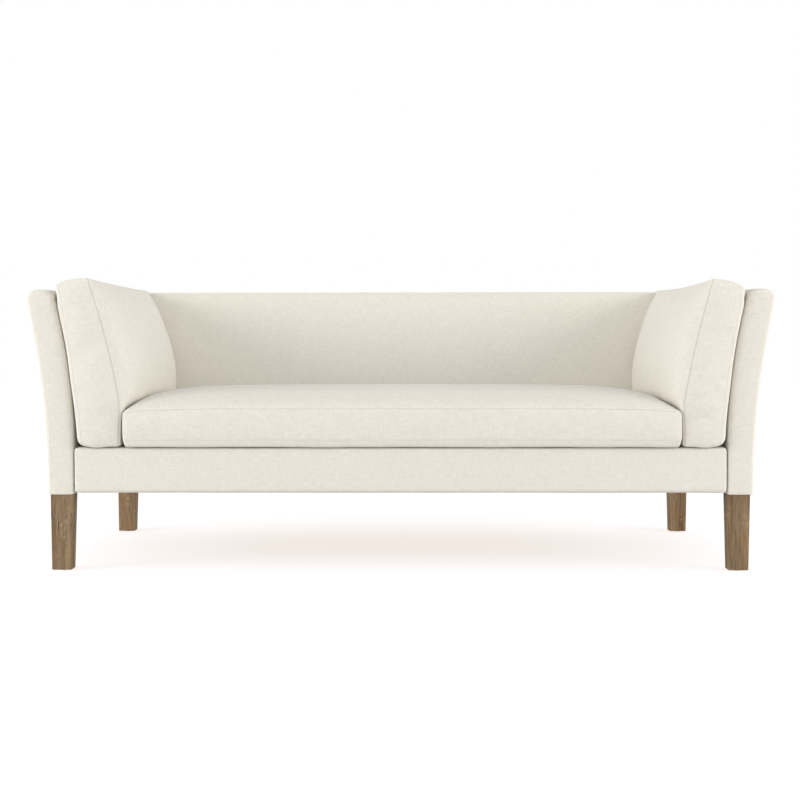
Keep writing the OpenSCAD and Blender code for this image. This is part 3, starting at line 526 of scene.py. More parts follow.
CUSHION_REACH = 0.018
CUSHION_Y = FRONT_Y - CUSHION_REACH
CUSHION_LIFT = 0.0003
CUSHION_Z = DECK_Z + CUSHION_LIFT
SEAT_MIDDLE_X = 0.005
SEAT_HALF = 0.7985
LOW_SEAM_H = 0.020
LOW_SEAM_Z = CUSHION_Z + LOW_SEAM_H
BOXING_H = 0.0905
TOP_SEAM_Z = LOW_SEAM_Z + BOXING_H
SEAM_DROP = 0.0105
SEAM_DROP_POWER = 8
SEAT_CROWN = 0.0560
SEAT_END_POWER = 7
SEAT_END_ROUNDNESS = (0.46, 0.60)
SEAT_FRONT_POWER = 3
SEAT_REAR_POWER = 2.2
END_TURN = 0.009
FRONT_TURN = 0.009
SEAT_CORNER_R = 0.008
BOXING_FULL = 0.001
SEAT_PULL = 0.003
SEAT_DEPTH = 0.75
BACK_REST_GAP = 0.0055
# Seam pulls set both the groove's depth and how dark the painted seam shade is.
TOP_SEAM_PULL_AND_SHADE, LOW_SEAM_PULL_AND_SHADE = 0.65, 0.25
HALVINGS = 18


def cushion_rear_at(z):
    return back_face_at(z) - BACK_REST_GAP


def seat_seam_at(u):
    return TOP_SEAM_Z - SEAM_DROP * abs(2 * u - 1) ** SEAM_DROP_POWER


def seat_top_at(u, v):
    seam_z = seat_seam_at(u)
    across = crown(u, SEAT_END_POWER, SEAT_END_ROUNDNESS[0 if u < 0.5 else 1])
    fill = across * crown(v, SEAT_FRONT_POWER if v < 0.5 else SEAT_REAR_POWER, 0.5)
    return seam_z + (TOP_SEAM_Z + SEAT_CROWN - seam_z) * fill


def seat_edge_at(y, z):
    """How far from its middle the seat cushion reaches to each side, at a depth and height."""
    rear = cushion_rear_at(z)
    v = min(1.0, max(0.0, (y - CUSHION_Y) / (rear - CUSHION_Y)))
    inside, outside = 0.5, 1.0
    for _ in range(HALVINGS):
        u = (inside + outside) / 2
        if seat_top_at(u, v) > z:
            inside = u
        else:
            outside = u
    return SEAT_HALF * (2 * inside - 1)


def seat_point(a, b, c):
    u, v, w = drawn((a + 1) / 2), drawn((b + 1) / 2), (c + 1) / 2
    seam_z = seat_seam_at(u)
    out = 0.0
    if c > ON_FACE:
        z = seat_top_at(u, v)
    elif c < -ON_FACE:
        near_end, near_front = min(u, 1 - u) * 2 * SEAT_HALF, min(v, 1 - v) * SEAT_DEPTH
        turned = min(full_turn(near_end / END_TURN), full_turn(near_front / FRONT_TURN))
        z = LOW_SEAM_Z - LOW_SEAM_H * turned
    else:
        z = LOW_SEAM_Z + (seam_z - LOW_SEAM_Z) * w
        out = 4 * w * (1 - w) * BOXING_FULL
    half = SEAT_HALF + out - SEAT_PULL * crown(v, 2)
    rear = cushion_rear_at(z) + out
    front = CUSHION_Y - out + SEAT_PULL * crown(u, 2)
    middle, half_depth = (front + rear) / 2, (rear - front) / 2
    x, y = round_corner((2 * u - 1) * half, half,
                        (2 * v - 1) * half_depth, half_depth, SEAT_CORNER_R)
    return Vector((SEAT_MIDDLE_X + x, middle + y, z))


def seat_is_held(a, b, c):
    return c < -ON_FACE or abs(a) > ON_FACE or b > ON_FACE


def seat_seam_pull_and_shade(at):
    return TOP_SEAM_PULL_AND_SHADE if at.z > (LOW_SEAM_Z + TOP_SEAM_Z) / 2 else LOW_SEAM_PULL_AND_SHADE


seat = make_cushion("seat_cushion_cover", (71, 35, 6), 2, seat_point, seat_is_held, seat_seam_pull_and_shade, 1)
ripple(seat, size=0.11, depth=0.0012, seed=1.7)
upholstered(seat, "seat_cushion_body", ["seat_cushion", "seat_cushion_core"])


# Arm cushions

SIDE_FRONT_Y = CUSHION_Y
SIDE_FOOT_BACK = 0.011
SIDE_H = 0.484
SIDE_RISE = 0.008
SIDE_TOP_Z = CUSHION_Z + SIDE_H
SIDE_FOOT_SPLAY = 0.004
END_SEAM_Z = TOP_SEAM_Z - SEAM_DROP
SEAT_TOUCH = 0.0025
BESIDE_SEAT_RISE = 0.02
BESIDE_SEAT_FADE = 0.05
SIDE_BULGE_TOP = 0.40
SIDE_FRONT_POWER = 4
SIDE_REAR_POWER = 3.0
SWELL_POWER_LOW, SWELL_POWER_HIGH = 0.28, 0.62
SIDE_FIT_GAP = 0.002
SIDE_INNER_LAP = (0.005, 0.008)
SIDE_LOW_GAP_H = 0.170
SIDE_HIGH_GAP = 0.0066
SIDE_HIGH_GAP_Z = (0.765, 0.785)
SIDE_FRONT_GAP_REACH = 0.060
SIDE_BOXING_FULL = 0.004
SIDE_BOXING_POWER = 8
SIDE_BOXING_REACH = 0.045
SIDE_LAP = (0.011, 0.008)
SIDE_FOOT_TURN = (0.026, 0.026)
SIDE_FOLD_R = 0.016
SIDE_CORNER_R = 0.007
SIDE_HEM = 0.006
SIDE_TURN_W = 0.080
SIDE_SEAM_SHARE = 0.84
SIDE_FOOT_SHARE = 0.08
SIDE_FRONT_SAG = 0.0135
SIDE_FRONT_LIFT = 0.0050
SIDE_SAG_REACH = 0.018
# Seam pulls set both the groove's depth and how dark the painted seam shade is.
OUTER_SEAM_PULL_AND_SHADE, INNER_SEAM_PULL_AND_SHADE = 0.45, 0.9
SIDE_SHAPES = {
    "left": {"turn_h": 0.034, "turn_power": 2.2, "low": 0.0, "dip": 0.003, "bulge": 0.058,
             "foot_x": 0.7985, "top_x": 0.8885, "bend": 1.35, "seat_reach": -SEAT_MIDDLE_X,
             "front_gap": 0.0074, "low_gap": 0.0112},
    "right": {"turn_h": 0.043, "turn_power": 2.0, "low": 0.004, "dip": 0.009, "bulge": 0.051,
              "foot_x": 0.8060, "top_x": 0.8895, "bend": 1.27, "seat_reach": SEAT_MIDDLE_X,
              "front_gap": 0.0060, "low_gap": 0.0066},
}


def side_inner_top_z(v, shape):
    """The height of the seam along the top of an arm cushion's inner panel."""
    sag = shape["dip"] * crown(v, 2) + shape["low"] * (1 - v)
    return SIDE_TOP_Z + SIDE_RISE * v - sag


def side_fall(share, shape):
    """How far the top has fallen at a share of the way out to the outer face."""
    power = shape["turn_power"]
    return shape["turn_h"] * (1 - max(0.0, 1 - share ** power) ** (1 / power))


def side_reach(fall, shape):
    """The share of the way out to the outer face at which the top has fallen so far."""
    power = shape["turn_power"]
    left = max(0.0, 1 - fall / shape["turn_h"])
    return max(0.0, 1 - left ** power) ** (1 / power)


def beside_seat(z):
    """One at the heights where the seat cushion lies beside an arm cushion, nought above."""
    return min(1.0, max(0.0, (TOP_SEAM_Z + BESIDE_SEAT_RISE - z) / BESIDE_SEAT_FADE))


def side_front_at(w, z):
    """The front of an arm cushion, which sits a little behind the seat's at its inner foot."""
    return SIDE_FRONT_Y + SIDE_FOOT_BACK * beside_seat(z) * (1 - w)


def side_outline(f, v, w, shape):
    """Depth and height of a point, with the outline's four corners rounded."""
    top = side_inner_top_z(v, shape) - side_fall(SIDE_SEAM_SHARE * w, shape)
    z = CUSHION_Z + f * (top - CUSHION_Z)
    front, rear = side_front_at(w, z), cushion_rear_at(z)
    half_y, half_z = (rear - front) / 2, (top - CUSHION_Z) / 2
    radius = SIDE_CORNER_R + (SIDE_FOLD_R - SIDE_CORNER_R) * min(1.0, 3 * w)
    y, z = round_corner((2 * v - 1) * half_y, half_y, (2 * f - 1) * half_z, half_z, radius)
    return front + half_y + y, CUSHION_Z + half_z + z


def side_inner_x(z, shape):
    rise = max(0.0, z - END_SEAM_Z) / (SIDE_TOP_Z - END_SEAM_Z)
    fall = max(0.0, END_SEAM_Z - z) / (END_SEAM_Z - CUSHION_Z)
    hem = 1 - quarter((z - CUSHION_Z) / SIDE_HEM)
    lean = (shape["top_x"] - shape["foot_x"]) * rise ** shape["bend"]
    return shape["foot_x"] + lean + SIDE_FOOT_SPLAY * fall + SIDE_HEM * hem


def side_swell(v, z, top):
    """The share of the full bulge at a depth and height, quick to swell just over the seat."""
    g = (z - END_SEAM_Z) / (top - END_SEAM_Z)
    if g <= 0 or g >= 1:
        return 0.0
    along = crown(v, SIDE_FRONT_POWER if v < 0.5 else SIDE_REAR_POWER, 0.5)
    if g < SIDE_BULGE_TOP:
        return along * math.sin(math.pi / 2 * g / SIDE_BULGE_TOP) ** SWELL_POWER_LOW
    fallen = (g - SIDE_BULGE_TOP) / (1 - SIDE_BULGE_TOP)
    return along * math.cos(math.pi / 2 * fallen) ** SWELL_POWER_HIGH


def side_inner(f, v, shape):
    y, z = side_outline(f, v, 0.0, shape)
    swell = shape["bulge"] * side_swell(v, z, side_inner_top_z(v, shape))
    seat_x = seat_edge_at(y, z - SEAT_TOUCH) + shape["seat_reach"] + SEAT_TOUCH
    lap = SIDE_INNER_LAP[0] * beside_seat(z) * (1 - quarter(v * DEPTH / SIDE_INNER_LAP[1]))
    return Vector((max(side_inner_x(z, shape) - swell, seat_x) + lap, y, z))


def side_outer(f, v, shape):
    y, z = side_outline(f, v, 1.0, shape)
    low = max(0.0, 1 - (z - CUSHION_Z) / SIDE_LOW_GAP_H)
    start_z, full_z = SIDE_HIGH_GAP_Z
    high = min(1.0, max(0.0, (z - start_z) / (full_z - start_z)))
    near_front = max(0.0, 1 - (y - SIDE_FRONT_Y) / SIDE_FRONT_GAP_REACH)
    gap = shape["front_gap"] + shape["low_gap"] * low + SIDE_HIGH_GAP * high
    full = arm_inner_at(y, z) - SIDE_FIT_GAP - gap * near_front
    lap = SIDE_LAP[0] * (1 - quarter(min(v, 1 - v) * DEPTH / SIDE_LAP[1]))
    turn = SIDE_TURN_W * (1 - side_reach(side_inner_top_z(v, shape) - z, shape))
    foot = SIDE_FOOT_TURN[0] * (1 - quarter((z - CUSHION_Z) / SIDE_FOOT_TURN[1]))
    return Vector((full - max(lap, turn, foot), y, z))


def arm_cushion_point(a, b, c, side, shape):
    f, v, w = drawn((c + 1) / 2), drawn((b + 1) / 2), (a + 1) / 2
    inner, outer = side_inner(f, v, shape), side_outer(f, v, shape)
    y, z = side_outline(f, v, w, shape)
    point = Vector((inner.x + (outer.x - inner.x) * w, y, z))
    out = 4 * w * (1 - w)
    if b < -ON_FACE:
        point.y -= out * SIDE_BOXING_FULL * crown(f, SIDE_BOXING_POWER)
    behind = min(1.0, max(0.0, y - SIDE_FRONT_Y) / SIDE_SAG_REACH)
    near_foot = max(0.0, 1 - f / SIDE_FOOT_SHARE) * (1 - behind ** 2)
    point.z += (SIDE_FRONT_LIFT - out * SIDE_FRONT_SAG) * near_foot
    point.x *= side
    return point


def arm_cushion_is_held(a, b, c):
    z = CUSHION_Z + drawn((c + 1) / 2) * SIDE_H
    against_seat = a < -ON_FACE and z < TOP_SEAM_Z + SEAT_CROWN
    return a > ON_FACE or abs(c) > ON_FACE or b > ON_FACE or against_seat


def arm_cushion_seam_pull_and_shade(at):
    outer = arm_inner_at(at.y, at.z) - abs(at.x) < SIDE_BOXING_REACH
    return OUTER_SEAM_PULL_AND_SHADE if outer else INNER_SEAM_PULL_AND_SHADE


for side, hand in ((-1, "left"), (1, "right")):
    def placed(a, b, c, side=side, shape=SIDE_SHAPES[hand]):
        return arm_cushion_point(a, b, c, side, shape)

    cushion = make_cushion(f"{hand}_arm_cushion_cover", (7, 41, 27), 0, placed,
                           arm_cushion_is_held, arm_cushion_seam_pull_and_shade, 2)
    ripple(cushion, size=0.11, depth=0.0010, seed=3.1 + side)
    upholstered(cushion, f"{hand}_arm_cushion_body",
                [f"{hand}_arm_cushion", f"{hand}_arm_cushion_core"])


# Zips on the rear boxings

ZIP_TAPE_W = 0.026
ZIP_TAPE_T = 0.0010
ZIP_RISE = 0.0010
ZIP_STEPS = 60
ZIP_OUT = Vector((0, math.cos(FACE_RAKE), -math.sin(FACE_RAKE)))
ZIP_UP = Vector((0, math.sin(FACE_RAKE), math.cos(FACE_RAKE)))
TOOTH_PITCH = 0.0045
TOOTH_STAGGER = 0.0007
TOOTH = (0.0026, 0.0050, 0.0012)
TEETH_START, TEETH_RUN = 0.02, 0.96
SLIDER = (0.012, 0.0080, 0.0018)
SLIDER_AT = 0.975
PULL_TAB = (0.022, 0.0050, 0.0008)
PULL_TAB_BACK = 0.012
SEAT_ZIP_HALF = 0.66
SEAT_ZIP_DROP = 0.004
SIDE_ZIP_START, SIDE_ZIP_RUN = 0.16, 0.66
SIDE_ZIP_LENGTH = 0.32


def add_block(bm, at, along, across, size):
    """Adds a small block that stands on the zip's tape at a point."""
    made = bmesh.ops.create_cube(bm, size=1)["verts"]
    for vertex in made:
        a, b, c = (vertex.co[i] * size[i] for i in range(3))
        vertex.co = at + along * a + across * b + ZIP_OUT * (c + size[2] / 2)


def make_zip(name, body, path, across, length):
    """A woven tape with a row of teeth, closed, and its slider at the end of the run."""
    lift = ZIP_OUT * (ZIP_RISE + ZIP_TAPE_T)
    bm = bmesh.new()
    bmesh.ops.create_grid(bm, x_segments=ZIP_STEPS, y_segments=2, size=1)
    for vertex in bm.verts:
        place = path((vertex.co.x + 1) / 2) + across * (vertex.co.y * ZIP_TAPE_W / 2)
        vertex.co = place + lift
    bmesh.ops.solidify(bm, geom=bm.faces[:], thickness=ZIP_TAPE_T)
    tape = piece_from(bm, f"{name}_tape", linen)
    lay_weave(tape)
    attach(tape, body)

    bm = bmesh.new()
    count = int(length / TOOTH_PITCH)
    for index in range(count):
        share = TEETH_START + TEETH_RUN * index / (count - 1)
        along = (path(share + 0.01) - path(share - 0.01)).normalized()
        stagger = across * (TOOTH_STAGGER if index % 2 else -TOOTH_STAGGER)
        add_block(bm, path(share) + stagger + lift, along, across, TOOTH)
    end = TEETH_START + TEETH_RUN
    along = (path(end) - path(end - 0.02)).normalized()
    slider_at = path(SLIDER_AT)
    add_block(bm, slider_at + lift, along, across, SLIDER)
    tab_at = slider_at - along * PULL_TAB_BACK + lift + ZIP_OUT * TOOTH[2]
    add_block(bm, tab_at, along, across, PULL_TAB)
    teeth = piece_from(bm, f"{name}_teeth", nylon)
    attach(teeth, body)


def seat_zip_path(t):
    z = (LOW_SEAM_Z + TOP_SEAM_Z) / 2 - SEAT_ZIP_DROP
    return Vector((SEAT_MIDDLE_X + (2 * t - 1) * SEAT_ZIP_HALF,
                   cushion_rear_at(z) + BOXING_FULL, z))


make_zip("seat_zip", "seat_cushion_body", seat_zip_path, ZIP_UP, 2 * SEAT_ZIP_HALF)

for side, hand in ((-1, "left"), (1, "right")):
    def side_zip_path(t, side=side, shape=SIDE_SHAPES[hand]):
        f = SIDE_ZIP_START + SIDE_ZIP_RUN * t
        inner, outer = side_inner(f, 1.0, shape), side_outer(f, 1.0, shape)
        return Vector((side * (inner.x + outer.x) / 2, cushion_rear_at(inner.z), inner.z))

    make_zip(f"{hand}_arm_cushion_zip", f"{hand}_arm_cushion_body", side_zip_path,
             Vector((1, 0, 0)), SIDE_ZIP_LENGTH)


# Arms

CROWN_R = 0.090
CROWN_X = (ARM_IN_X + ARM_IN_FLARE + ARM_OUT_X + ARM_OUT_FLARE) / 2
CROWN_RISE = 0.0012
CROWN_Z = ARM_H + CROWN_RISE - CROWN_R
SHOULDER_R = 0.027
SHOULDER_END = math.radians(-6)
SHOULDER_CLEAR = 0.012
FLARE_STEPS = 14
CROWN_STEPS = 5
SHOULDER_STEPS = 4
ARM_CUTS = 30
ARM_EDGE_R = 0.0155
ARM_FOOT_R = 0.004
ARM_SHARP = 28
ALONG_X = (1, 0, 0)
ALONG_Y = (0, 1, 0)


def line_to(bm, vertex, place):
    """Draws an edge from a vertex to a place and gives the new vertex."""
    made = bmesh.ops.extrude_vert_indiv(bm, verts=[vertex])["verts"][0]
    made.co = place
    return made


def arc_to(bm, vertex, centre, angle, steps, axis):
    """Draws an arc from a vertex round a centre and gives its last vertex."""
    made = bmesh.ops.spin(bm, geom=[vertex], cent=centre, axis=axis, angle=angle,
                          steps=steps, dvec=(0, 0, 0), use_duplicate=False)
    return next(g for g in made["geom_last"] if isinstance(g, bmesh.types.BMVert))


def draw_out(bm, face, way, cuts):
    """Extrudes a face into a bar and cuts the bar into slices."""
    made = bmesh.ops.extrude_face_region(bm, geom=[face])
    far = [g for g in made["geom"] if isinstance(g, bmesh.types.BMVert)]
    bmesh.ops.translate(bm, verts=far, vec=way)
    axis = max(range(3), key=lambda i: way[i])
    lines = [e for e in bm.edges
             if abs(e.verts[0].co[axis] - e.verts[1].co[axis]) > way[axis] / 2]
    bmesh.ops.subdivide_edges(bm, edges=lines, cuts=cuts, use_grid_fill=True)


def arm_section(bm):
    """The outline of the right arm, across its length, at the front."""
    vertex = first = bm.verts.new((ARM_IN_X, FRONT_Y, LEG_H))
    vertex = line_to(bm, vertex, (ARM_IN_X, FRONT_Y, FLARE_OUT_Z))
    vertex = line_to(bm, vertex, (ARM_IN_X, FRONT_Y, FLARE_IN_Z))
    inner_top_x = CROWN_X - ARM_IN_X - ARM_IN_FLARE
    inner_top_z = CROWN_Z + math.sqrt(CROWN_R ** 2 - inner_top_x ** 2)
    inner_angle = math.asin((inner_top_z - FLARE_IN_Z) / ARM_IN_R)
    vertex = arc_to(bm, vertex, (ARM_IN_X + ARM_IN_R, FRONT_Y, FLARE_IN_Z), inner_angle,
                    FLARE_STEPS, ALONG_Y)
    crown_start = math.atan2(vertex.co.z - CROWN_Z, vertex.co.x - CROWN_X)
    shoulder_x = ARM_OUT_X + ARM_OUT_FLARE - SHOULDER_R
    crown_end = math.acos((shoulder_x - CROWN_X) / (CROWN_R - SHOULDER_R))
    vertex = arc_to(bm, vertex, (CROWN_X, FRONT_Y, CROWN_Z), crown_start - crown_end,
                    CROWN_STEPS, ALONG_Y)
    shoulder = (shoulder_x, FRONT_Y, CROWN_Z + (CROWN_R - SHOULDER_R) * math.sin(crown_end))
    vertex = arc_to(bm, vertex, shoulder, crown_end - SHOULDER_END, SHOULDER_STEPS, ALONG_Y)
    for step in range(FLARE_STEPS - 1, -1, -1):
        z = FLARE_OUT_Z + step / FLARE_STEPS * (SHOULDER_Z - FLARE_OUT_Z)
        if z < vertex.co.z - SHOULDER_CLEAR:
            x = ARM_OUT_X + flare_at(z - FLARE_OUT_Z, ARM_OUT_R)
            vertex = line_to(bm, vertex, (x, FRONT_Y, z))
    vertex = line_to(bm, vertex, (ARM_OUT_X, FRONT_Y, LEG_H))
    bm.edges.new((vertex, first))
    return bmesh.ops.contextual_create(bm, geom=bm.edges[:])["faces"][0]


def make_arm(side, hand):
    bm = bmesh.new()
    draw_out(bm, arm_section(bm), (0, DEPTH, 0), ARM_CUTS)
    for vertex in bm.verts:
        x, y, z = vertex.co
        share = (y - FRONT_Y) / DEPTH
        lift = min(1.0, (z - LEG_H) / (FLARE_OUT_Z - LEG_H))
        z += share * (BACK_H - ARM_H) * lift
        y = FRONT_Y + share * (back_rear_at(z) - FRONT_Y)
        vertex.co = (side * x, y, z)
    bmesh.ops.recalc_face_normals(bm, faces=bm.faces)
    for at_foot, radius in ((False, ARM_EDGE_R), (True, ARM_FOOT_R)):
        bm.normal_update()
        edges = [e for e in sharp_edges(bm, ARM_SHARP)
                 if at_foot == all(v.co.z < LEG_H + 1e-4 for v in e.verts)]
        round_edges(bm, edges, radius, 3)
    arm = piece_from(bm, f"{hand}_arm_upholstery", linen)
    smooth_out(arm, 1)
    ripple(arm, size=0.16, depth=0.0004, seed=5.3 + side)
    upholstered(arm, "frame", [f"{hand}_arm_cover", f"{hand}_arm_padding"])


make_arm(-1, "left")
make_arm(1, "right")


# Back

FRONT_TOP_R = 0.009
REAR_TOP_R = 0.024
BACK_FOOT_Z = 0.3445
REAR_RAIL_Y = 0.3672
BACK_FULL = 0.003
BACK_END_POWER = 10
BACK_EDGE_R = 0.005
BACK_SHARP = 50
# The seam pull sets both the groove's depth and how dark the painted seam shade is.
BACK_SEAM_PULL_AND_SHADE = 0.2
FACE_STEPS = 18
FRONT_TOP_STEPS = 4
REAR_TOP_STEPS = 5
REAR_STEPS = 20
BACK_CUTS = 63


def back_section(bm, x):
    """The outline of the back, from its open foot over the top and down behind."""
    top_z = BACK_H - FRONT_TOP_R
    top = (x, back_face_at(top_z) + FRONT_TOP_R / math.cos(FACE_RAKE), top_z)
    end_z = BACK_H - REAR_TOP_R
    end = (x, back_rear_at(end_z) - REAR_TOP_R / math.cos(REAR_RAKE), end_z)
    vertex = first = bm.verts.new((x, back_face_at(BACK_FOOT_Z), BACK_FOOT_Z))
    start_z = top[2] + FRONT_TOP_R * math.sin(FACE_RAKE)
    for i in range(1, FACE_STEPS + 1):
        z = BACK_FOOT_Z + (start_z - BACK_FOOT_Z) * i / FACE_STEPS
        vertex = line_to(bm, vertex, (x, back_face_at(z), z))
    seam = vertex
    vertex = arc_to(bm, vertex, top, -(math.pi / 2 - FACE_RAKE), FRONT_TOP_STEPS, ALONG_X)
    vertex = line_to(bm, vertex, (x, (top[1] + end[1]) / 2, BACK_H))
    vertex = line_to(bm, vertex, (x, end[1], BACK_H))
    vertex = arc_to(bm, vertex, end, -(math.pi / 2 + REAR_RAKE), REAR_TOP_STEPS, ALONG_X)
    low_z = vertex.co.z
    for i in range(1, REAR_STEPS + 1):
        z = low_z + (RAIL_Z - low_z) * i / REAR_STEPS
        vertex = line_to(bm, vertex, (x, back_rear_at(z), z))
    vertex = line_to(bm, vertex, (x, REAR_RAIL_Y, RAIL_Z))
    vertex = line_to(bm, vertex, (x, REAR_RAIL_Y, BACK_FOOT_Z))
    bm.edges.new((vertex, first))
    return bmesh.ops.contextual_create(bm, geom=bm.edges[:])["faces"][0], seam.co.copy()


def make_back():
    """Fits the back between the arms: x runs from -1 to 1 until the arms' inner faces set it."""
    bm = bmesh.new()
    face, seam_at = back_section(bm, -1.0)
    draw_out(bm, face, (2, 0, 0), BACK_CUTS)
    for edge in bm.edges:
        edge.seam = all(abs(v.co.z - seam_at.z) < 1e-5 and abs(v.co.y - seam_at.y) < 1e-5
                        for v in edge.verts)
    for vertex in bm.verts:
        share, y, z = vertex.co
        on_face = abs(y - back_face_at(z)) < 1e-4
        if on_face and z > DECK_Z:
            g = (z - DECK_Z) / (seam_at.z - DECK_Z)
            y -= BACK_FULL * crown(g, 4) * (1 - abs(share) ** BACK_END_POWER)
        vertex.co = (share * (arm_inner_at(y, z) - JOINT_GAP), y, z)
    bmesh.ops.recalc_face_normals(bm, faces=bm.faces)
    bm.normal_update()
    round_edges(bm, sharp_edges(bm, BACK_SHARP), BACK_EDGE_R, 2)
    back = piece_from(bm, "back_upholstery", linen)
    sew_seams(back, lambda at: BACK_SEAM_PULL_AND_SHADE)
    smooth_out(back, 1)
    ripple(back, size=0.18, depth=0.0008, seed=9.1)
    upholstered(back, "frame", ["back_cover", "back_padding"])


make_back()


# Front rail, deck and dust cloth

RAIL_END_X = 0.9375
RAIL_REAR_Y = -0.4166
RAIL_SINK = 0.0015
RAIL_EDGE_R = 0.010
DECK_REAR_Y = 0.2540
DECK_T = 0.010
DECK_EDGE_R = 0.003
DECK_CLEAR = 0.0002


def make_block(name, low, high, cuts, radius, finish):
    """A soft edged block that is cut into a grid before it is smoothed."""
    bm = boxed_grid(cuts)
    low, high = Vector(low), Vector(high)
    for vertex in bm.verts:
        share = (vertex.co + Vector((1, 1, 1))) / 2
        vertex.co = low + Vector(share[i] * (high - low)[i] for i in range(3))
    bm.normal_update()
    round_edges(bm, [e for e in bm.edges if e.calc_face_angle() > 1], radius, 3)
    block = piece_from(bm, name, finish)
    smooth_out(block, 1)
    return block


rail = make_block("front_rail_upholstery", (-RAIL_END_X, FRONT_Y, RAIL_Z),
                  (RAIL_END_X, RAIL_REAR_Y, DECK_Z - RAIL_SINK), (47, 1, 5), RAIL_EDGE_R, linen)
ripple(rail, size=0.14, depth=0.0006, seed=12.9)
upholstered(rail, "frame", ["front_rail_cover", "front_rail_padding"])

deck = make_block("deck_cloth", (-RAIL_END_X, RAIL_REAR_Y + DECK_CLEAR, DECK_Z - DECK_T),
                  (RAIL_END_X, DECK_REAR_Y, DECK_Z), (47, 19, 1), DECK_EDGE_R, decking)
upholstered(deck, "frame", ["deck_cover", "deck_felt"])

DUST_HALF_X = 0.9338
DUST_FRONT_Y = -0.4164
DUST_REAR_Y = 0.3948
DUST_Z = 0.2268
DUST_SAG = 0.0035
DUST_T = 0.0006
DUST_FOLD = 0.0008
DUST_FOLD_SIZE = (0.25, 0.09)


def make_dust_cloth():
    bm = bmesh.new()
    bmesh.ops.create_grid(bm, x_segments=60, y_segments=28, size=1)
    for vertex in bm.verts:
        a, b = vertex.co.x, vertex.co.y
        x = a * DUST_HALF_X
        y = DUST_FRONT_Y + (b + 1) / 2 * (DUST_REAR_Y - DUST_FRONT_Y)
        slack = crown((b + 1) / 2, 4)
        fall = DUST_SAG * crown((a + 1) / 2, 6) * slack
        place = Vector((x / DUST_FOLD_SIZE[0], y / DUST_FOLD_SIZE[1], 4.0))
        vertex.co = (x, y, DUST_Z - fall + DUST_FOLD * noise.noise(place) * slack)
    cloth = piece_from(bm, "dust_cloth_sheet", black_cloth)
    wall = cloth.modifiers.new("thickness", "SOLIDIFY")
    wall.thickness = DUST_T
    settle(cloth)
    cloth.data.shade_smooth()
    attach(cloth, "frame")
    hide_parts("dust_cover")


make_dust_cloth()


# Legs

LEG_FOOT_Z = 0.0018
LEG_TOP = (0.065, 0.048)
LEG_FOOT = (0.0563, 0.042)
LEG_OUTWARD = {"left": (0.0015, 0.0045), "right": (-0.0010, 0.0010)}
LEG_EDGE_R = 0.0011


def make_leg(side, hand, end):
    """A tapered leg that stands a little further out at its foot than at its top."""
    node = f"{end}_{hand}_leg"
    low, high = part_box(node)
    middle = (low + high) / 2
    out_at_top, out_at_foot = LEG_OUTWARD[hand]
    bm = bmesh.new()
    bmesh.ops.create_cube(bm, size=1)
    for vertex in bm.verts:
        if vertex.co.z > 0:
            size, z, outward = LEG_TOP, LEG_H, out_at_top
        else:
            size, z, outward = LEG_FOOT, LEG_FOOT_Z, out_at_foot
        x = middle.x + side * outward
        vertex.co = (x + vertex.co.x * size[0], middle.y + vertex.co.y * size[1], z)
    round_edges(bm, bm.edges[:], LEG_EDGE_R, 2)
    # Rear legs take the paler oak copy: painted light against the shade under the seat.
    leg = piece_from(bm, f"{end}_{hand}_oak_leg", oak if end == "front" else rear_oak_painted_lighter)
    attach(leg, "frame")
    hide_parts(node)


for end in ("front", "rear"):
    make_leg(-1, "left", end)
    make_leg(1, "right", end)


# Floor, lights and camera

WALL_TONE = (0.925, 0.922, 0.914)
CEILING_TONE = (0.58, 0.58, 0.58)
CEILING_START, CEILING_FULL = 0.1, 0.95
LAMP_TONE = (1.0, 0.985, 0.965)
SOFTBOX_AIM = Vector((0, 0, 0.45))
SOFTBOXES = (
    ("front_softbox", (0, -6.0, 0.7), (5.0, 1.2), 7),
    ("left_softbox", (-6.5, -2.6, 2.3), (4.5, 2.6), 260),
    ("right_softbox", (6.5, -2.6, 2.3), (4.5, 2.6), 240),
)
CAMERA_AT = (0.036, -3.913, 0.607)
CAMERA_TURN = (88.105, 0.05, 0.58)
CAMERA_LENS = 54.37


def light_one_show_other(tree, lighting, looking, output):
    """Lights the sofa with one shader, and shows the other to the eye, in shine and in glass."""
    rays = tree.nodes.new("ShaderNodeLightPath")
    shown = maths(tree, "ADD", rays.outputs["Is Camera Ray"], rays.outputs["Is Glossy Ray"])
    shown = maths(tree, "ADD", shown, rays.outputs["Is Transmission Ray"])
    pick = tree.nodes.new("ShaderNodeMixShader")
    tree.links.new(shown, pick.inputs[0])
    tree.links.new(lighting.outputs[0], pick.inputs[1])
    tree.links.new(looking.outputs[0], pick.inputs[2])
    tree.links.new(pick.outputs[0], output.inputs["Surface"])


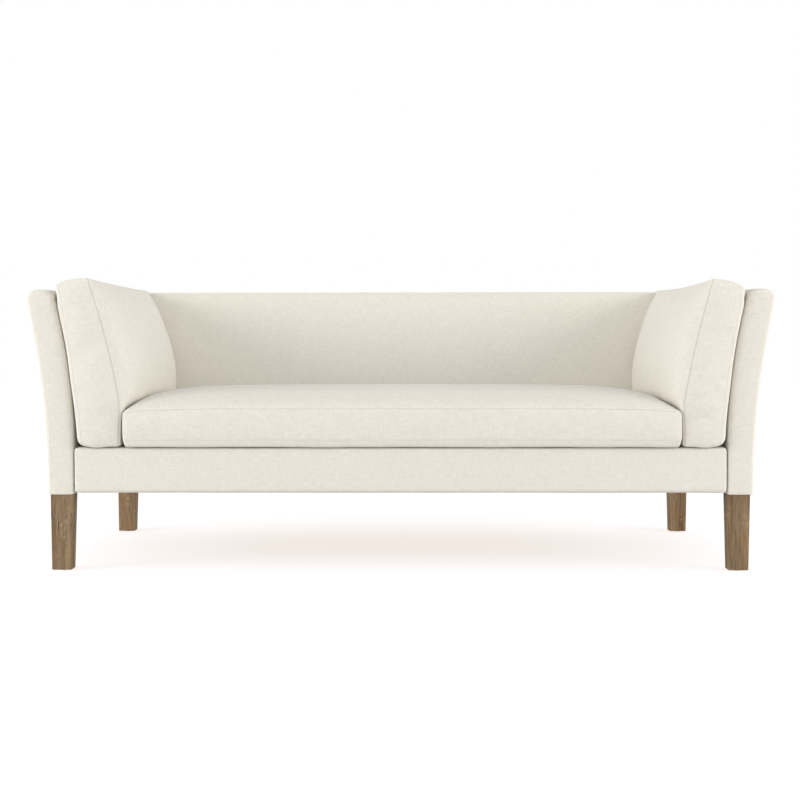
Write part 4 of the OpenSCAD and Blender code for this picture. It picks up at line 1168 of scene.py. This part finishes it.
def make_floor():
    """A floor that bounces light as a pale one does, and looks white where no shadow falls."""
    material = bpy.data.materials.new("white_floor")
    material.use_nodes = True
    tree = material.node_tree
    tree.nodes.remove(tree.nodes["Principled BSDF"])
    matt = add_node(tree, "ShaderNodeBsdfDiffuse", Color=(0.80, 0.79, 0.78, 1))
    seen = add_node(tree, "ShaderNodeBsdfDiffuse", Color=(0.28, 0.36, 0.47, 1))
    glow = add_node(tree, "ShaderNodeEmission", Color=(0.83, 0.75, 0.68, 1), Strength=1.0)
    pale = tree.nodes.new("ShaderNodeAddShader")
    tree.links.new(seen.outputs[0], pale.inputs[0])
    tree.links.new(glow.outputs[0], pale.inputs[1])
    light_one_show_other(tree, matt, pale, tree.nodes["Material Output"])
    bm = bmesh.new()
    bmesh.ops.create_grid(bm, x_segments=1, y_segments=1, size=40)
    piece_from(bm, "studio_floor", material)


def make_world():
    """White to look at, and a pale room with a darker ceiling to light the sofa."""
    world = bpy.data.worlds.new("white_studio")
    scene.world = world
    world.use_nodes = True
    tree = world.node_tree
    backdrop = tree.nodes["Background"]
    backdrop.inputs["Color"].default_value = (1, 1, 1, 1)
    backdrop.inputs["Strength"].default_value = 1.0
    room = add_node(tree, "ShaderNodeBackground")
    way = tree.nodes.new("ShaderNodeSeparateXYZ")
    tree.links.new(add_node(tree, "ShaderNodeTexCoord").outputs["Generated"], way.inputs[0])
    height = maths(tree, "ABSOLUTE", way.outputs[2])
    tone = colour_between(tree, height, WALL_TONE, CEILING_TONE, CEILING_START, CEILING_FULL)
    tree.links.new(tone, room.inputs["Color"])
    light_one_show_other(tree, room, backdrop, tree.nodes["World Output"])


def add_softbox(name, place, size, power):
    light = bpy.data.lights.new(name, "AREA")
    light.shape = "RECTANGLE"
    light.size, light.size_y = size
    light.energy = power
    light.color = LAMP_TONE
    lamp = bpy.data.objects.new(name, light)
    scene.collection.objects.link(lamp)
    lamp.location = place
    lamp.rotation_euler = (SOFTBOX_AIM - Vector(place)).to_track_quat("-Z", "Y").to_euler()


def make_camera():
    lens = bpy.data.cameras.new("front_camera")
    lens.sensor_width = 36
    lens.lens = CAMERA_LENS
    camera = bpy.data.objects.new("front_camera", lens)
    scene.collection.objects.link(camera)
    camera.location = CAMERA_AT
    camera.rotation_euler = Euler([math.radians(turn) for turn in CAMERA_TURN])
    scene.camera = camera


make_floor()
make_world()
for softbox in SOFTBOXES:
    add_softbox(*softbox)
make_camera()
scene.view_settings.view_transform = "Standard"
